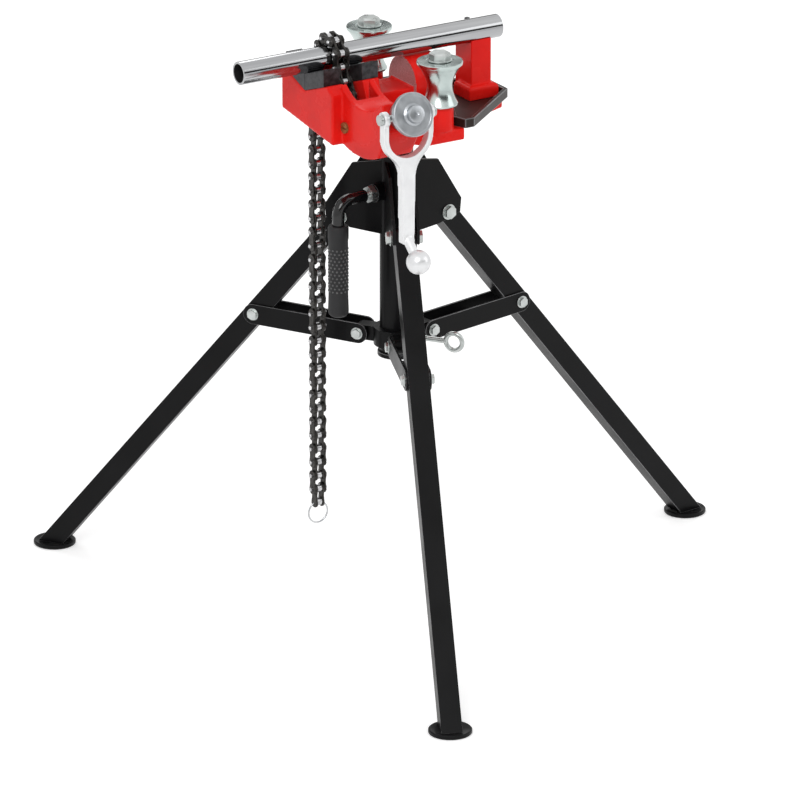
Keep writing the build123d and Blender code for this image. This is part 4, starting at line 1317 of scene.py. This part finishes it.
@dataclass
class Studio:
    """Long-lens camera, pale floor, two dark cards and soft lamps.

    Sizes are in metres and angles in degrees, apart from the lens in pixels and the sensor in mm.
    """

    azimuth: float = -31.45
    elevation: float = 20.0
    distance: float = 12.96
    focal_px: float = 9000.0
    side: float = 0.0051
    height: float = 0.2973
    frame_px: int = 800
    sensor: float = 36.0
    sight_end: float = 100.0
    ambient: float = 0.62
    floor_size: float = 60.0
    floor_tone: float = 0.9
    floor_dull: float = 0.9
    floor_lift: float = 0.34
    floor_gap: float = 0.0005
    card_out: float = 3.2
    card_rise: float = 1.75
    card_wide: float = 5.0
    card_tall: float = 1.0
    lamp_aim: Point = (0.0, 0.0, 0.5)
    lamps: tuple[Lamp, ...] = (
        Lamp("key", (-2.4, -2.4, 3.2), 1.8, 62.0),
        Lamp("fill", (2.8, -2.2, 2.2), 2.4, 20.0),
        Lamp("rim", (0.6, 3.0, 3.0), 2.2, 30.0),
    )

    def place_camera(self) -> None:
        """Adds the camera and makes it the scene's own."""
        az, el = math.radians(self.azimuth), math.radians(self.elevation)
        ahead = Vector((-math.sin(az) * math.cos(el), math.cos(az) * math.cos(el), -math.sin(el)))
        right = Vector((math.cos(az), math.sin(az), 0.0))
        column = middle_of("column_tube")
        aim = Vector((column[0], column[1], self.height)) + right * self.side
        bpy.ops.object.camera_add(location=aim - ahead * self.distance)
        camera = bpy.context.object
        camera.rotation_euler = ahead.to_track_quat("-Z", "Y").to_euler()
        camera.data.sensor_width = self.sensor
        camera.data.lens = self.focal_px * self.sensor / self.frame_px
        camera.data.clip_end = self.sight_end
        bpy.context.scene.camera = camera

    def blend_strength(self, wiring: Wiring, low: float, high: float) -> Output:
        """Adds a strength that is high on the rays that show the backdrop and low where it only lights.

        Args:
            wiring: the tree of the world or the floor.
            low: strength on the other rays.
            high: strength on camera, glossy and transmission rays.

        Returns:
            The strength's output.
        """
        path = wiring.add("ShaderNodeLightPath").outputs
        shown = path["Is Camera Ray"]
        for kind in ("Is Glossy Ray", "Is Transmission Ray"):
            shown = wiring.combine("MAXIMUM", shown, path[kind])
        strength = wiring.add("ShaderNodeMapRange", {"Value": shown, "To Min": low, "To Max": high})
        return strength.outputs["Result"]

    def place_floor(self) -> None:
        """Adds the pale floor."""
        bpy.ops.mesh.primitive_plane_add(size=self.floor_size, location=(0, 0, -self.floor_gap))
        floor = bpy.context.object
        floor.name = "studio_floor"
        mat = bpy.data.materials.new("studio_floor")
        mat.use_nodes = True
        wiring = Wiring(mat.node_tree)
        wiring.feed(mat.node_tree.nodes["Principled BSDF"], {
            "Base Color": (self.floor_tone, self.floor_tone, self.floor_tone, 1.0),
            "Roughness": self.floor_dull,
            "Emission Color": WHITE,
            "Emission Strength": self.blend_strength(wiring, 0.0, self.floor_lift),
        })
        floor.data.materials.append(mat)

    def place_world(self) -> None:
        """Adds the white backdrop, which lights the vise at a plain level."""
        world = bpy.context.scene.world or bpy.data.worlds.new("studio")
        bpy.context.scene.world = world
        world.use_nodes = True
        wiring = Wiring(world.node_tree)
        wiring.feed(world.node_tree.nodes["Background"], {
            "Color": WHITE,
            "Strength": self.blend_strength(wiring, self.ambient, 1.0),
        })

    def place_cards(self) -> None:
        """Adds two dark cards that only mirroring metal and gloss paint show."""
        for name, side in (("studio_card_near", -1), ("studio_card_far", 1)):
            bpy.ops.mesh.primitive_plane_add(size=1.0, location=(0.0, side * self.card_out, self.card_rise),
                                             rotation=(math.pi / 2, 0.0, 0.0))
            card = bpy.context.object
            card.name = name
            card.scale = (self.card_wide, self.card_tall, 1.0)
            card.data.materials.append(BLACK_PAINT.material())
            card.visible_camera = False
            card.visible_diffuse = False
            card.visible_shadow = False
            card.visible_transmission = False

    def build(self) -> None:
        """Builds the whole studio."""
        self.place_camera()
        self.place_floor()
        self.place_world()
        self.place_cards()
        for lamp in self.lamps:
            lamp.place(Vector(self.lamp_aim))
        bpy.context.scene.view_settings.view_transform = "Standard"
        LOG.info("studio: camera at %.0f degrees, floor, cards and %d lamps", self.azimuth, len(self.lamps))


def main() -> None:
    """Builds the studio and the vise, sub-assembly by sub-assembly."""
    Studio().build()
    for assembly in (Tripod(), ClampLever(), Head(), Tension(), Chain(), SamplePipe()):
        assembly.build()
        LOG.info("%s is done", type(assembly).__name__)


if __name__ == "__main__":
    main()
